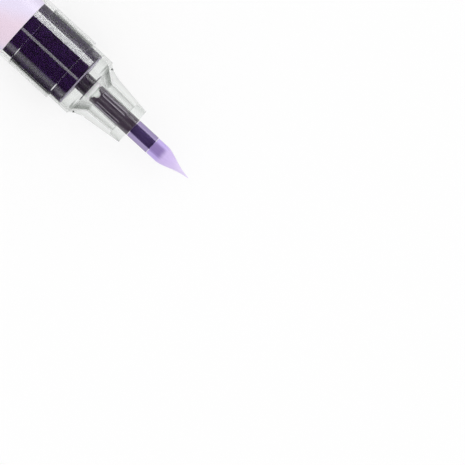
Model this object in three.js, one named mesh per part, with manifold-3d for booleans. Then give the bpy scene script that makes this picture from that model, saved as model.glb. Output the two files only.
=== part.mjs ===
// A valve-action brush marker for acrylic paint, lying on a table with its cap posted on the rear end.
// Millimetres, +Z up. The marker's own axis runs parallel to X, and the brush points to +X.
// Stations along the axis are measured from the front rim of the barrel, positive towards the brush.
import * as THREE from "three";
import { mergeVertices } from "three/addons/utils/BufferGeometryUtils.js";
import Module from "manifold-3d";

const wasm = await Module();
wasm.setup();

// Facets round the axis
const WIDE_SIDES = 48;
const MIDDLE_SIDES = 32;
const SMALL_SIDES = 24;
const PORT_SIDES = 12;
const FLUTE_SIDES = 8;

// How far a cutter runs past the face that it cuts
const OVERSHOOT = 1;

// Clearances
const FIT_GAP = 0.05; // radial, between pieces pressed or slid together
const SEAT_GAP = 0.1; // axial, between faces that meet
const SLIDE_GAP = 0.12; // radial, round whatever slides

// Paint tank
const TANK_BORE_R = 5.95;
const TANK_WALL = 0.4;
const TANK_LENGTH = 92.5;
const TANK_PROUD = 2.55; // how far the tank stands in front of the barrel's rim
const TANK_PLUG_DEPTH = 5;
const TANK_PLUG_FLANGE = 1.2;

// Printed label, wrapped round the tank
const LABEL_FILM = 0.1;
const LABEL_SETBACK = 13; // from the barrel's front rim to the label's front edge
const LABEL_REAR_SETBACK = 1.95; // from the tank's rear end to the label's rear edge

// Clear barrel
const BARREL_ROOM = 0.15; // radial, between the label and the barrel
const BARREL_WALL = 0.85;

// Paint charge and mixing ball
const AIR_SPACE = 10;
const BALL_R = 2.4;
const BALL_CHANNEL_GAP = 0.15;
const BALL_CHANNEL_FRONT = 5; // from the label's front edge back to the front of the ball's run

// Clear nose
const SKIRT_WALL = 0.5;
const SKIRT_DEPTH = 10.5; // how far the nose reaches into the barrel
const BEAD_HEIGHT = 0.12;
const BEAD_WIDTH = 0.5;
const NOSE_STRAIGHT = 5.1; // bare cylinder in front of the barrel, where the cap seats
const NOSE_FLARE_LENGTH = 3.2;
const NOSE_FLARE_R = 5.2;
const NOSE_FLARE_PULL = 0.6; // station of the flare's control point, past the cylinder
const NOSE_FLARE_RISE = 0.65; // radius of that point, over the flare's end
const NOSE_TAPER_LENGTH = 8.6;
const LIP_R = 4.12;
const LIP_WALL = 0.15;
const LIP_RECESS = 2.5;
const LIP_DRAFT = 0.1;
const NOSE_LEDGE = 0.3; // step that the gasket is pressed against
const NOSE_CONE_START = 4.66;
const NOSE_CONE_END = 7.9;
const THROAT_R = 3.65;
const THROAT_FRONT_R = 3.35;
const FLARE_STEPS = 6;

// Gasket in front of the tank
const GASKET_THICKNESS = 0.25;

// Valve
const VALVE_FLANGE = 0.75;
const VALVE_CUP_R = 4.3;
const VALVE_CUP_WALL = 0.7;
const VALVE_CUP_DEPTH = 12;
const VALVE_FRONT_WALL = 1.6;
const VALVE_WINDOWS = 4;
const VALVE_WINDOW_WIDTH = 1.8;
const VALVE_WINDOW_LENGTH = 5;
const RETAINER_THICKNESS = 1;
const RETAINER_HOLE_R = 1.2;
const STEM_R = 2.07;
const STEM_BORE_R = 0.8;
const STEM_HEAD_R = 3.1;
const STEM_HEAD_LENGTH = 1.2;
const STEM_SPIGOT_R = 1.7;
const STEM_SPIGOT_LENGTH = 2.8;
const STEM_PORT_R = 0.55;
const STEM_DISC_R = 3.3;
const STEM_DISC_THICKNESS = 0.25;
const STEM_REACH = 0.74; // from the start of the nose's cone to the disc's front
const SEAL_THICKNESS = 0.75;
const SPRING_MEAN_R = 2.55;
const SPRING_WIRE_R = 0.25;
const SPRING_TURNS = 7;
const SPRING_STEPS = 10; // steps in each turn
const SPRING_SIDES = 6;

// White tip of the valve stem
const TIP_R = 2;
const TIP_LENGTH = 0.85;
const TIP_CONE_LENGTH = 0.7;
const TIP_CONE_R = 1;
const TIP_PILOT_R = 0.72;
const TIP_PILOT_LENGTH = 0.9;
const TIP_TAIL_LENGTH = 1.3;

// Clear nib guide in the nose
const GUIDE_MOUTH_R = 3.65;
const GUIDE_FUNNEL_LENGTH = 2.3;
const GUIDE_FRONT_GAP = 0.1;

// Nib holder, ferrule and brush
const HOLDER_R = 2.03;
const HOLDER_BORE_R = 1.05;
const HOLDER_REACH = 0.2; // how far the holder stands out of the nose
const HOLDER_OVERLAP = 0.35; // how far its funnel reaches back over the tip's cone
const ROD_SETBACK = 0.3; // from the tip's pilot to the rear of the brush's rod
const HOLDER_SLOTS = 2;
const SLOT_R = 0.85; // half a slot's width, and the rounding of its end
const SLOT_LENGTH = 1.15; // from the holder's rear end to the slot's round end
const HOLDER_FLUTES = 5;
const FLUTE_TURN = 44; // degrees from the top of the holder to the first flute
const FLUTE_R = 0.42;
const FLUTE_DEPTH = 0.2;
const FLUTE_REAR = 1.3; // from the holder's rear end to the flutes
const FLUTE_FRONT = 2.8; // from the flutes to the holder's front end
const FERRULE_LENGTH = 5.2;
const FERRULE_R = 2;
const BRUSH_R = 1.95;
const BRUSH_ROOT_LENGTH = 2.6;
const BRUSH_TAPER_LENGTH = 7.1;
const BRUSH_POINT_R = 0.08;
const BRUSH_STEPS = 8;
const BRUSH_BELLY = [0.3, 0.9]; // first control point, as shares of the taper's length and radius
const BRUSH_HOLLOW = [0.5, 0.25]; // second control point

// Rear plug
const PLUG_DEPTH = 6.6;
const PLUG_COLLAR = 0.85;
const PLUG_CLEARANCE = 0.2; // between the tank's plug and the rear plug
const SPIGOT_LENGTH = 7.1;
const SPIGOT_WALL = 1.5;
const SPIGOT_FLOOR = 0.6;
const SPIGOT_CHAMFER = 0.5;
const RING_SECTION_R = 0.42;
const RING_SETBACK = 3.6; // from the plug's inner face to the middle of the sealing ring
const RING_SIDES = 10;

// Cap, posted on the rear plug
const CAP_GAP = 0.08;
const CAP_SEAT_DEPTH = 13.6; // wide bore that takes the nose or the rear plug
const CAP_INNER_R = 6.3;
const CAP_CROWN = 2.5;
const CAP_EDGE_R = 0.8;
const CAP_EDGE_STEPS = 4;
const CAP_DRAFT = 0.2;
const CAP_DRAFT_LENGTH = 8;
const BUTTON_R = 4.5;
const BUTTON_THICKNESS = 1;
const BUTTON_PROUD = 0.1;
const BUTTON_STEM_R = 1.4;
const BUTTON_STEM_LENGTH = 1;

// Liner that seals on the nose when the marker is capped
const LINER_FLANGE = 1;
const LINER_SEAL_WALL = 0.65;
const LINER_SEAL_LENGTH = 3.2;
const LINER_TUBE_R = 3.2;
const LINER_TUBE_WALL = 0.7;
const LINER_END_WALL = 0.6;
const NIB_ROOM = 0.5; // free length ahead of the brush inside the liner
const CROWN_ROOM = 0.2; // between the liner's end and the cap's crown

// Clip
const CLIP_LENGTH = 27;
const CLIP_WIDTH = 4.4;
const CLIP_THICKNESS = 1.3;
const CLIP_STANDOFF = 1.4; // gap between the cap and the clip's blade
const CLIP_ROOT_LENGTH = 4;
const CLIP_END_SETBACK = 1.6; // from the cap's end to the clip's root
const CLIP_BUMP_R = 1.2;
const CLIP_BUMP_SETBACK = 2.4;
const CLIP_CAP_GAP = 0.15;
const CLIP_TENON_LENGTH = 2.4;
const CLIP_TENON_WIDTH = 2.4;
const CLIP_TENON_DEPTH = 0.6;
const CLIP_POCKET_GAP = 0.2;
const ARC_STEPS = 6;

// Radii that follow from the driving sizes
const tankR = TANK_BORE_R + TANK_WALL;
const contentsR = TANK_BORE_R - FIT_GAP;
const labelInnerR = tankR + FIT_GAP;
const labelR = labelInnerR + LABEL_FILM;
const barrelBoreR = labelR + BARREL_ROOM;
const barrelR = barrelBoreR + BARREL_WALL;
const skirtBoreR = tankR + FIT_GAP;
const noseR = skirtBoreR + SKIRT_WALL;
const counterboreR = noseR + FIT_GAP;
const beadR = noseR + BEAD_HEIGHT;
const ledgeR = skirtBoreR - NOSE_LEDGE;
const stemBoreInBodyR = STEM_R + SLIDE_GAP;
const guideBoreR = HOLDER_R + SLIDE_GAP;
const cupBoreR = VALVE_CUP_R - VALVE_CUP_WALL;
const capBoreR = noseR + CAP_GAP;
const clipInnerR = barrelR + CLIP_STANDOFF;
const clipOuterR = clipInnerR + CLIP_THICKNESS;

// Stations that follow from the driving sizes
const tankFront = TANK_PROUD;
const tankRear = tankFront - TANK_LENGTH;
const labelFront = -LABEL_SETBACK;
const labelRear = tankRear + LABEL_REAR_SETBACK;
const gasketRear = tankFront + SEAT_GAP / 2;
const gasketFront = gasketRear + GASKET_THICKNESS;
const ledge = gasketFront + SEAT_GAP;
const valveFront = tankFront - FIT_GAP;
const valveFlangeRear = valveFront - VALVE_FLANGE;
const valveSeat = valveFront - VALVE_FRONT_WALL;
const valveRear = valveFront - VALVE_CUP_DEPTH;
const retainerFront = valveRear + RETAINER_THICKNESS;
const paintFront = valveFlangeRear - SEAT_GAP;
const plugInTankFront = tankRear + TANK_PLUG_DEPTH;
const paintRear = plugInTankFront + AIR_SPACE;
const plugFlangeFront = tankRear - FIT_GAP;
const plugFlangeRear = plugFlangeFront - TANK_PLUG_FLANGE;
const flareEnd = NOSE_STRAIGHT + NOSE_FLARE_LENGTH;
const noseFront = flareEnd + NOSE_TAPER_LENGTH;
const recessRear = noseFront - LIP_RECESS;
const sealFront = valveSeat - FIT_GAP;
const sealRear = sealFront - SEAL_THICKNESS;
const headFront = sealRear - FIT_GAP;
const headRear = headFront - STEM_HEAD_LENGTH;
const stemRear = headRear - STEM_SPIGOT_LENGTH;
const stemFront = NOSE_CONE_START + STEM_REACH;
const tipRear = stemFront + SEAT_GAP;
const tipShoulder = tipRear + TIP_LENGTH;
const tipConeEnd = tipShoulder + TIP_CONE_LENGTH;
const tipFront = tipConeEnd + TIP_PILOT_LENGTH;
const guideRear = stemFront + SEAT_GAP;
const guideFront = recessRear - GUIDE_FRONT_GAP;
const holderRear = tipConeEnd - HOLDER_OVERLAP;
const holderFront = noseFront + HOLDER_REACH;
const rodRear = tipFront + ROD_SETBACK;
const ferruleRear = holderFront + SEAT_GAP;
const ferruleFront = ferruleRear + FERRULE_LENGTH;
const brushRear = ferruleFront + SEAT_GAP;
const brushTaper = brushRear + BRUSH_ROOT_LENGTH;
const brushFront = brushTaper + BRUSH_TAPER_LENGTH;
const plugInnerFace = plugFlangeRear - PLUG_CLEARANCE;
const barrelRear = plugInnerFace - PLUG_DEPTH;
const collarFront = barrelRear - SEAT_GAP / 2;
const collarRear = collarFront - PLUG_COLLAR;
const spigotRear = collarRear - SPIGOT_LENGTH;
const capMouth = collarRear - SEAT_GAP;
const linerInside = capMouth - brushFront - NIB_ROOM;
const capRear = linerInside - LINER_END_WALL - CROWN_ROOM - CAP_CROWN;
const markerRear = capRear - BUTTON_PROUD;
const ballDrop = TANK_BORE_R - BALL_R - FIT_GAP;
const ballStation = plugInTankFront + BALL_R + SEAT_GAP;

// The marker lies on one facet of its barrel and on one corner of the clip, which keeps it from rolling.
const axisHeight = barrelR * Math.cos(Math.PI / WIDE_SIDES);
const clipCornerR = Math.hypot(clipOuterR, CLIP_WIDTH / 2);
const cornerFromDown = Math.acos(axisHeight / clipCornerR);
const clipFromDown = cornerFromDown + Math.atan2(CLIP_WIDTH / 2, clipOuterR);
const clipReach = clipCornerR * Math.sin(clipFromDown + Math.atan2(CLIP_WIDTH / 2, clipOuterR));
const axisSide = (axisHeight - clipReach) / 2;
const middle = (brushFront + markerRear) / 2;

// Volume of a triangle list, negative when the faces point inwards.
function signedVolume(position, index) {
  const [a, b, c] = [new THREE.Vector3(), new THREE.Vector3(), new THREE.Vector3()];
  let sum = 0;
  for (let i = 0; i < index.length; i += 3) {
    a.fromBufferAttribute(position, index[i]);
    b.fromBufferAttribute(position, index[i + 1]);
    c.fromBufferAttribute(position, index[i + 2]);
    sum += a.dot(b.cross(c)) / 6;
  }
  return sum;
}

// A closed geometry as a solid with its faces pointing outwards.
function solidOf(geometry) {
  const bare = geometry.clone();
  bare.deleteAttribute("normal");
  bare.deleteAttribute("uv");
  const merged = mergeVertices(bare, 1e-4);
  const corners = Array.from(merged.index.array);
  const faces = [];
  for (let i = 0; i < corners.length; i += 3) {
    const [a, b, c] = corners.slice(i, i + 3);
    if (a !== b && b !== c && c !== a) faces.push(a, b, c);
  }
  const position = merged.getAttribute("position");
  if (signedVolume(position, faces) < 0) faces.reverse();
  return new wasm.Manifold(
    new wasm.Mesh({
      numProp: 3,
      vertProperties: new Float32Array(position.array),
      triVerts: new Uint32Array(faces),
    }),
  );
}

// A body turned about the axis. Its profile is a loop of [station, radius] pairs, or runs from axis to axis.
function turned(profile, sides) {
  const points = profile.map(([station, radius]) => new THREE.Vector2(radius, station));
  if (profile[0][1] > 0) points.push(points[0].clone());
  const geometry = new THREE.LatheGeometry(points, sides, Math.PI / sides);
  return solidOf(geometry.rotateZ(-Math.PI / 2));
}

// A plain tube or ring between two stations.
function tube(rear, front, innerR, outerR, sides) {
  const profile = [
    [rear, innerR],
    [rear, outerR],
    [front, outerR],
    [front, innerR],
  ];
  return turned(profile, sides);
}

// A plain rod between two stations.
function rod(rear, front, radius, sides) {
  const profile = [
    [rear, 0],
    [rear, radius],
    [front, radius],
    [front, 0],
  ];
  return turned(profile, sides);
}

// A box given by its lowest and highest corners.
function block(low, high) {
  const size = high.map((value, i) => value - low[i]);
  const centre = high.map((value, i) => (value + low[i]) / 2);
  return solidOf(new THREE.BoxGeometry(...size).translate(...centre));
}

// Copies of a cutter, evenly spaced round the axis, taken away from a body.
function cutRound(body, cutter, count) {
  let result = body;
  for (let i = 0; i < count; i += 1) {
    result = result.subtract(cutter.rotate([(360 * i) / count, 0, 0]));
  }
  return result;
}

// A compression spring about the axis: one unbroken wire with flat ends cut square.
function helix(rear, front, meanR, wireR, turns) {
  const rings = turns * SPRING_STEPS + 1;
  const travel = front - rear - 2 * wireR;
  const positions = [];
  for (let i = 0; i < rings; i += 1) {
    const share = i / (rings - 1);
    const angle = share * turns * 2 * Math.PI;
    const centre = rear + wireR + share * travel;
    for (let k = 0; k < SPRING_SIDES; k += 1) {
      const round = (k / SPRING_SIDES) * 2 * Math.PI;
      const radius = meanR + wireR * Math.cos(round);
      const station = centre + wireR * Math.sin(round);
      positions.push(station, radius * Math.sin(angle), radius * Math.cos(angle));
    }
  }
  const index = [];
  for (let i = 0; i < rings - 1; i += 1) {
    for (let k = 0; k < SPRING_SIDES; k += 1) {
      const a = i * SPRING_SIDES + k;
      const b = i * SPRING_SIDES + ((k + 1) % SPRING_SIDES);
      index.push(a, b, b + SPRING_SIDES, a, b + SPRING_SIDES, a + SPRING_SIDES);
    }
  }
  const last = (rings - 1) * SPRING_SIDES;
  for (let k = 1; k < SPRING_SIDES - 1; k += 1) {
    index.push(0, k + 1, k, last, last + k, last + k + 1);
  }
  const geometry = new THREE.BufferGeometry();
  geometry.setAttribute("position", new THREE.Float32BufferAttribute(positions, 3));
  geometry.setIndex(index);
  return solidOf(geometry);
}

// Radius of the nose's inner cone at a station.
function coneRadius(station) {
  const share = (station - NOSE_CONE_START) / (NOSE_CONE_END - NOSE_CONE_START);
  return ledgeR + share * (THROAT_R - ledgeR);
}

// Radius of the nose's inner throat at a station.
function throatRadius(station) {
  const share = (station - NOSE_CONE_END) / (recessRear - NOSE_CONE_END);
  return THROAT_R + share * (THROAT_FRONT_R - THROAT_R);
}

function makeTank() {
  return tube(tankRear, tankFront, TANK_BORE_R, tankR, WIDE_SIDES);
}

function makeLabel() {
  return tube(labelRear, labelFront, labelInnerR, labelR, WIDE_SIDES);
}

// The paint fills the tank in front of the air space. It leaves room for the valve and a run for the ball.
function makePaint() {
  const charge = rod(paintRear, paintFront, contentsR, WIDE_SIDES);
  const valveRoomFront = paintFront + OVERSHOOT;
  const valveRoom = rod(valveRear - SEAT_GAP, valveRoomFront, VALVE_CUP_R + FIT_GAP, MIDDLE_SIDES);
  const channelRear = paintRear - OVERSHOOT;
  const channelFront = labelFront - BALL_CHANNEL_FRONT;
  const channelR = BALL_R + BALL_CHANNEL_GAP;
  const channel = rod(channelRear, channelFront, channelR, SMALL_SIDES).translate([0, 0, -ballDrop]);
  return charge.subtract(valveRoom).subtract(channel);
}

function makeBall() {
  const sphere = new THREE.SphereGeometry(BALL_R, SMALL_SIDES, SMALL_SIDES / 2);
  return solidOf(sphere.translate(ballStation, 0, -ballDrop));
}

function makeTankPlug() {
  const profile = [
    [plugFlangeRear, 0],
    [plugFlangeRear, tankR],
    [plugFlangeFront, tankR],
    [plugFlangeFront, contentsR],
    [plugInTankFront - FIT_GAP, contentsR],
    [plugInTankFront, contentsR - FIT_GAP],
    [plugInTankFront, 0],
  ];
  return turned(profile, MIDDLE_SIDES);
}

function makeBarrel() {
  const grooveR = beadR + FIT_GAP;
  const beadRear = -SKIRT_DEPTH;
  const profile = [
    [barrelRear, barrelBoreR],
    [barrelRear, barrelR],
    [0, barrelR],
    [0, counterboreR],
    [beadRear + BEAD_WIDTH + SEAT_GAP, counterboreR],
    [beadRear + BEAD_WIDTH + SEAT_GAP, grooveR],
    [beadRear - SEAT_GAP, grooveR],
    [beadRear - SEAT_GAP, barrelBoreR],
  ];
  return turned(profile, WIDE_SIDES);
}

// Outside of the nose: a snap bead, a cylinder, a hollow flare and a long taper to the lip.
function makeNose() {
  const flare = new THREE.QuadraticBezierCurve(
    new THREE.Vector2(NOSE_STRAIGHT, noseR),
    new THREE.Vector2(NOSE_STRAIGHT + NOSE_FLARE_PULL, NOSE_FLARE_R + NOSE_FLARE_RISE),
    new THREE.Vector2(flareEnd, NOSE_FLARE_R),
  );
  const outside = [
    [-SKIRT_DEPTH, skirtBoreR],
    [-SKIRT_DEPTH, beadR],
    [-SKIRT_DEPTH + BEAD_WIDTH, beadR],
    [-SKIRT_DEPTH + BEAD_WIDTH, noseR],
    ...flare.getPoints(FLARE_STEPS).map((point) => [point.x, point.y]),
    [noseFront, LIP_R],
  ];
  const inside = [
    [noseFront, LIP_R - LIP_WALL],
    [recessRear, LIP_R - LIP_WALL - LIP_DRAFT],
    [recessRear, THROAT_FRONT_R],
    [NOSE_CONE_END, THROAT_R],
    [NOSE_CONE_START, ledgeR],
    [ledge, ledgeR],
    [ledge, skirtBoreR],
  ];
  return turned([...outside, ...inside], WIDE_SIDES);
}

function makeGasket() {
  return tube(gasketRear, gasketFront, stemBoreInBodyR, tankR - FIT_GAP, WIDE_SIDES);
}

// Cup that carries the spring, with a flange that closes the tank and windows that let the paint in.
function makeValveBody() {
  const profile = [
    [valveRear, cupBoreR],
    [valveRear, VALVE_CUP_R],
    [valveFlangeRear, VALVE_CUP_R],
    [valveFlangeRear, contentsR],
    [valveFront, contentsR],
    [valveFront, stemBoreInBodyR],
    [valveSeat, stemBoreInBodyR],
    [valveSeat, cupBoreR],
  ];
  const body = turned(profile, MIDDLE_SIDES);
  const windowRear = (valveRear + valveSeat - VALVE_WINDOW_LENGTH) / 2;
  const half = VALVE_WINDOW_WIDTH / 2;
  const windowFront = windowRear + VALVE_WINDOW_LENGTH;
  const window = block([windowRear, -half, 0], [windowFront, half, VALVE_CUP_R + OVERSHOOT]);
  return cutRound(body, window, VALVE_WINDOWS);
}

function makeRetainer() {
  return tube(valveRear, retainerFront, RETAINER_HOLE_R, cupBoreR - FIT_GAP, MIDDLE_SIDES);
}

function makeSpring() {
  const rear = retainerFront + SEAT_GAP;
  return helix(rear, headRear - SEAT_GAP, SPRING_MEAN_R, SPRING_WIRE_R, SPRING_TURNS);
}

// Stem that lifts off its seat when the brush is pressed. Paint runs through its ports and its bore.
function makeStem() {
  const discRear = stemFront - STEM_DISC_THICKNESS;
  const profile = [
    [stemRear, 0],
    [stemRear, STEM_SPIGOT_R],
    [headRear, STEM_SPIGOT_R],
    [headRear, STEM_HEAD_R],
    [headFront, STEM_HEAD_R],
    [headFront, STEM_R],
    [discRear, STEM_R],
    [discRear, STEM_DISC_R],
    [stemFront, STEM_DISC_R],
    [stemFront, STEM_BORE_R],
    [headFront, STEM_BORE_R],
    [headFront, 0],
  ];
  const stem = turned(profile, MIDDLE_SIDES);
  const portStation = sealFront + STEM_PORT_R + SEAT_GAP;
  const portLength = 2 * (STEM_R + OVERSHOOT);
  const port = solidOf(new THREE.CylinderGeometry(STEM_PORT_R, STEM_PORT_R, portLength, PORT_SIDES));
  return stem.subtract(port.translate([portStation, 0, 0]));
}

function makeSeal() {
  return tube(sealRear, sealFront, STEM_R + FIT_GAP, STEM_HEAD_R, MIDDLE_SIDES);
}

function makeTip() {
  const profile = [
    [stemFront - TIP_TAIL_LENGTH, 0],
    [stemFront - TIP_TAIL_LENGTH, STEM_BORE_R - FIT_GAP],
    [tipRear, STEM_BORE_R - FIT_GAP],
    [tipRear, TIP_R],
    [tipShoulder, TIP_R],
    [tipConeEnd, TIP_CONE_R],
    [tipConeEnd, TIP_PILOT_R],
    [tipFront, TIP_PILOT_R],
    [tipFront, 0],
  ];
  return turned(profile, SMALL_SIDES);
}

// Clear bush that fills the nose's cone and throat and steers the nib holder.
function makeGuide() {
  const funnelEnd = guideRear + GUIDE_FUNNEL_LENGTH;
  const profile = [
    [guideRear, GUIDE_MOUTH_R],
    [guideRear, coneRadius(guideRear) - SLIDE_GAP],
    [NOSE_CONE_END, throatRadius(NOSE_CONE_END) - SLIDE_GAP],
    [guideFront, throatRadius(guideFront) - SLIDE_GAP],
    [guideFront, guideBoreR],
    [funnelEnd, guideBoreR],
  ];
  return turned(profile, MIDDLE_SIDES);
}

// Sleeve that carries the brush. Slots in its rear let it spring over the tip, and flutes let air past.
function makeHolder() {
  const slope = (TIP_R - TIP_CONE_R) / TIP_CONE_LENGTH;
  const mouthR = TIP_R - slope * (holderRear - tipShoulder) + SLIDE_GAP;
  const pilotRear = tipConeEnd + FIT_GAP;
  const profile = [
    [holderRear, mouthR],
    [holderRear, HOLDER_R],
    [holderFront, HOLDER_R],
    [holderFront, HOLDER_BORE_R],
    [tipFront + SEAT_GAP, HOLDER_BORE_R],
    [tipFront + SEAT_GAP, TIP_PILOT_R + SLIDE_GAP],
    [pilotRear, TIP_PILOT_R + SLIDE_GAP],
    [pilotRear, TIP_CONE_R + SLIDE_GAP / 2],
  ];
  const holder = turned(profile, MIDDLE_SIDES);
  const fluteRear = holderRear + FLUTE_REAR;
  const fluteFront = holderFront - FLUTE_FRONT;
  const fluteAxisR = HOLDER_R - FLUTE_DEPTH + FLUTE_R;
  const flute = rod(fluteRear, fluteFront, FLUTE_R, FLUTE_SIDES).translate([0, 0, fluteAxisR]);
  const slotCentre = holderRear + SLOT_LENGTH - SLOT_R;
  const slotDepth = HOLDER_R + OVERSHOOT;
  const mouth = block([holderRear - OVERSHOOT, -SLOT_R, 0], [slotCentre, SLOT_R, slotDepth]);
  const slotEnd = solidOf(new THREE.CylinderGeometry(SLOT_R, SLOT_R, slotDepth, PORT_SIDES));
  const slot = mouth.add(slotEnd.rotate([90, 0, 0]).translate([slotCentre, 0, slotDepth / 2]));
  const slotted = cutRound(holder, slot, HOLDER_SLOTS);
  return cutRound(slotted, flute.rotate([FLUTE_TURN, 0, 0]), HOLDER_FLUTES);
}

function makeFerrule() {
  return tube(ferruleRear, ferruleFront, HOLDER_BORE_R, FERRULE_R, MIDDLE_SIDES);
}

// A feed rod that ends in a brush point. The point draws in slowly, then fast, and ends almost straight.
function makeBrush() {
  const point = new THREE.CubicBezierCurve(
    new THREE.Vector2(brushTaper, BRUSH_R),
    new THREE.Vector2(brushTaper + BRUSH_BELLY[0] * BRUSH_TAPER_LENGTH, BRUSH_BELLY[1] * BRUSH_R),
    new THREE.Vector2(brushTaper + BRUSH_HOLLOW[0] * BRUSH_TAPER_LENGTH, BRUSH_HOLLOW[1] * BRUSH_R),
    new THREE.Vector2(brushFront, BRUSH_POINT_R),
  );
  const profile = [
    [rodRear, 0],
    [rodRear, HOLDER_BORE_R - FIT_GAP],
    [brushRear, HOLDER_BORE_R - FIT_GAP],
    [brushRear, BRUSH_R],
    ...point.getPoints(BRUSH_STEPS).map((p) => [p.x, p.y]),
    [brushFront, 0],
  ];
  return turned(profile, MIDDLE_SIDES);
}

function makeRearPlug() {
  const plugR = barrelBoreR - FIT_GAP;
  const ringStation = plugInnerFace - RING_SETBACK;
  const grooveHalf = RING_SECTION_R + FIT_GAP;
  const grooveR = plugR - 2 * RING_SECTION_R - FIT_GAP;
  const pocketR = noseR - SPIGOT_WALL;
  const profile = [
    [plugInnerFace, 0],
    [plugInnerFace, plugR],
    [ringStation + grooveHalf, plugR],
    [ringStation + grooveHalf, grooveR],
    [ringStation - grooveHalf, grooveR],
    [ringStation - grooveHalf, plugR],
    [collarFront, plugR],
    [collarFront, barrelR],
    [collarRear, barrelR],
    [collarRear, noseR],
    [spigotRear + SPIGOT_CHAMFER, noseR],
    [spigotRear, noseR - SPIGOT_CHAMFER],
    [spigotRear, pocketR],
    [collarRear - SPIGOT_FLOOR, pocketR],
    [collarRear - SPIGOT_FLOOR, 0],
  ];
  return turned(profile, WIDE_SIDES);
}

function makeRing() {
  const middleR = barrelBoreR - FIT_GAP - RING_SECTION_R;
  const ringStation = plugInnerFace - RING_SETBACK;
  const profile = [];
  for (let i = 0; i < RING_SIDES; i += 1) {
    const angle = ((i + 0.5) / RING_SIDES) * 2 * Math.PI;
    profile.push([
      ringStation + RING_SECTION_R * Math.sin(angle),
      middleR + RING_SECTION_R * Math.cos(angle),
    ]);
  }
  return turned(profile, MIDDLE_SIDES);
}

// Turns a body that stands on top of the cap to the clip's own side of it.
function toClipSide(body) {
  return body.rotate([180 + THREE.MathUtils.radToDeg(clipFromDown), 0, 0]);
}

function makeCap() {
  const endR = barrelR - CAP_DRAFT;
  const edge = [];
  for (let i = 0; i <= CAP_EDGE_STEPS; i += 1) {
    const angle = (i / CAP_EDGE_STEPS) * (Math.PI / 2);
    edge.push([
      capRear + CAP_EDGE_R * (1 - Math.sin(angle)),
      endR - CAP_EDGE_R * (1 - Math.cos(angle)),
    ]);
  }
  const recess = capRear + BUTTON_THICKNESS;
  const crownInside = capRear + CAP_CROWN;
  const profile = [
    [capMouth, capBoreR],
    [capMouth, barrelR],
    [capRear + CAP_DRAFT_LENGTH, barrelR],
    ...edge,
    [capRear, BUTTON_R + FIT_GAP],
    [recess, BUTTON_R + FIT_GAP],
    [recess, BUTTON_STEM_R + FIT_GAP],
    [crownInside, BUTTON_STEM_R + FIT_GAP],
    [crownInside, CAP_INNER_R],
    [capMouth - CAP_SEAT_DEPTH, CAP_INNER_R],
    [capMouth - CAP_SEAT_DEPTH, capBoreR],
  ];
  const shell = turned(profile, WIDE_SIDES);
  const tenonFront = capRear + CLIP_END_SETBACK + (CLIP_ROOT_LENGTH + CLIP_TENON_LENGTH) / 2;
  const pocketHalf = CLIP_TENON_WIDTH / 2 + CLIP_POCKET_GAP;
  const pocket = block(
    [tenonFront - CLIP_TENON_LENGTH - CLIP_POCKET_GAP, -pocketHalf, tenonFloorR() - CLIP_POCKET_GAP],
    [tenonFront + CLIP_POCKET_GAP, pocketHalf, barrelR + OVERSHOOT],
  );
  return shell.subtract(toClipSide(pocket));
}

// Radius of the inner end of the clip's tenon.
function tenonFloorR() {
  return barrelR - CLIP_TENON_DEPTH;
}

function makeButton() {
  const top = capRear - BUTTON_PROUD;
  const underside = capRear + BUTTON_THICKNESS - SEAT_GAP;
  const profile = [
    [top, 0],
    [top, BUTTON_R],
    [underside, BUTTON_R],
    [underside, BUTTON_STEM_R],
    [underside + BUTTON_STEM_LENGTH, BUTTON_STEM_R],
    [underside + BUTTON_STEM_LENGTH, 0],
  ];
  return turned(profile, MIDDLE_SIDES);
}

// Outer radius of the nose's taper at a station.
function taperRadius(station) {
  const share = (station - flareEnd) / (noseFront - flareEnd);
  return NOSE_FLARE_R + share * (LIP_R - NOSE_FLARE_R);
}

function makeLiner() {
  const flangeFront = capMouth - CAP_SEAT_DEPTH - FIT_GAP;
  const flangeRear = flangeFront - LINER_FLANGE;
  const sealDepth = capMouth - flangeFront;
  const mouthR = taperRadius(sealDepth) + SLIDE_GAP;
  const sealEnd = flangeFront - LINER_SEAL_LENGTH;
  const sealEndR = LIP_R + SLIDE_GAP;
  const profile = [
    [flangeFront, mouthR],
    [flangeFront, CAP_INNER_R - FIT_GAP],
    [flangeRear, CAP_INNER_R - FIT_GAP],
    [flangeRear, mouthR + LINER_SEAL_WALL],
    [sealEnd, sealEndR + LINER_SEAL_WALL],
    [sealEnd - LINER_END_WALL, LINER_TUBE_R + LINER_TUBE_WALL],
    [linerInside - LINER_END_WALL, LINER_TUBE_R + LINER_TUBE_WALL],
    [linerInside - LINER_END_WALL, 0],
    [linerInside, 0],
    [linerInside, LINER_TUBE_R],
    [sealEnd, LINER_TUBE_R],
    [sealEnd, sealEndR],
  ];
  return turned(startingOnAxis(profile), MIDDLE_SIDES);
}

// The same loop, turned round so that it starts at its second point on the axis and ends at its first.
function startingOnAxis(profile) {
  const onAxis = profile.findIndex(([, radius]) => radius === 0);
  return [...profile.slice(onAxis + 1), ...profile.slice(0, onAxis + 1)];
}

// Points of an arc in the clip's side view, as [station, radius] pairs.
function arc(station, radius, size, from, to) {
  const points = [];
  for (let i = 0; i <= ARC_STEPS; i += 1) {
    const angle = from + ((to - from) * i) / ARC_STEPS;
    points.push([station + size * Math.cos(angle), radius + size * Math.sin(angle)]);
  }
  return points;
}

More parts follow.
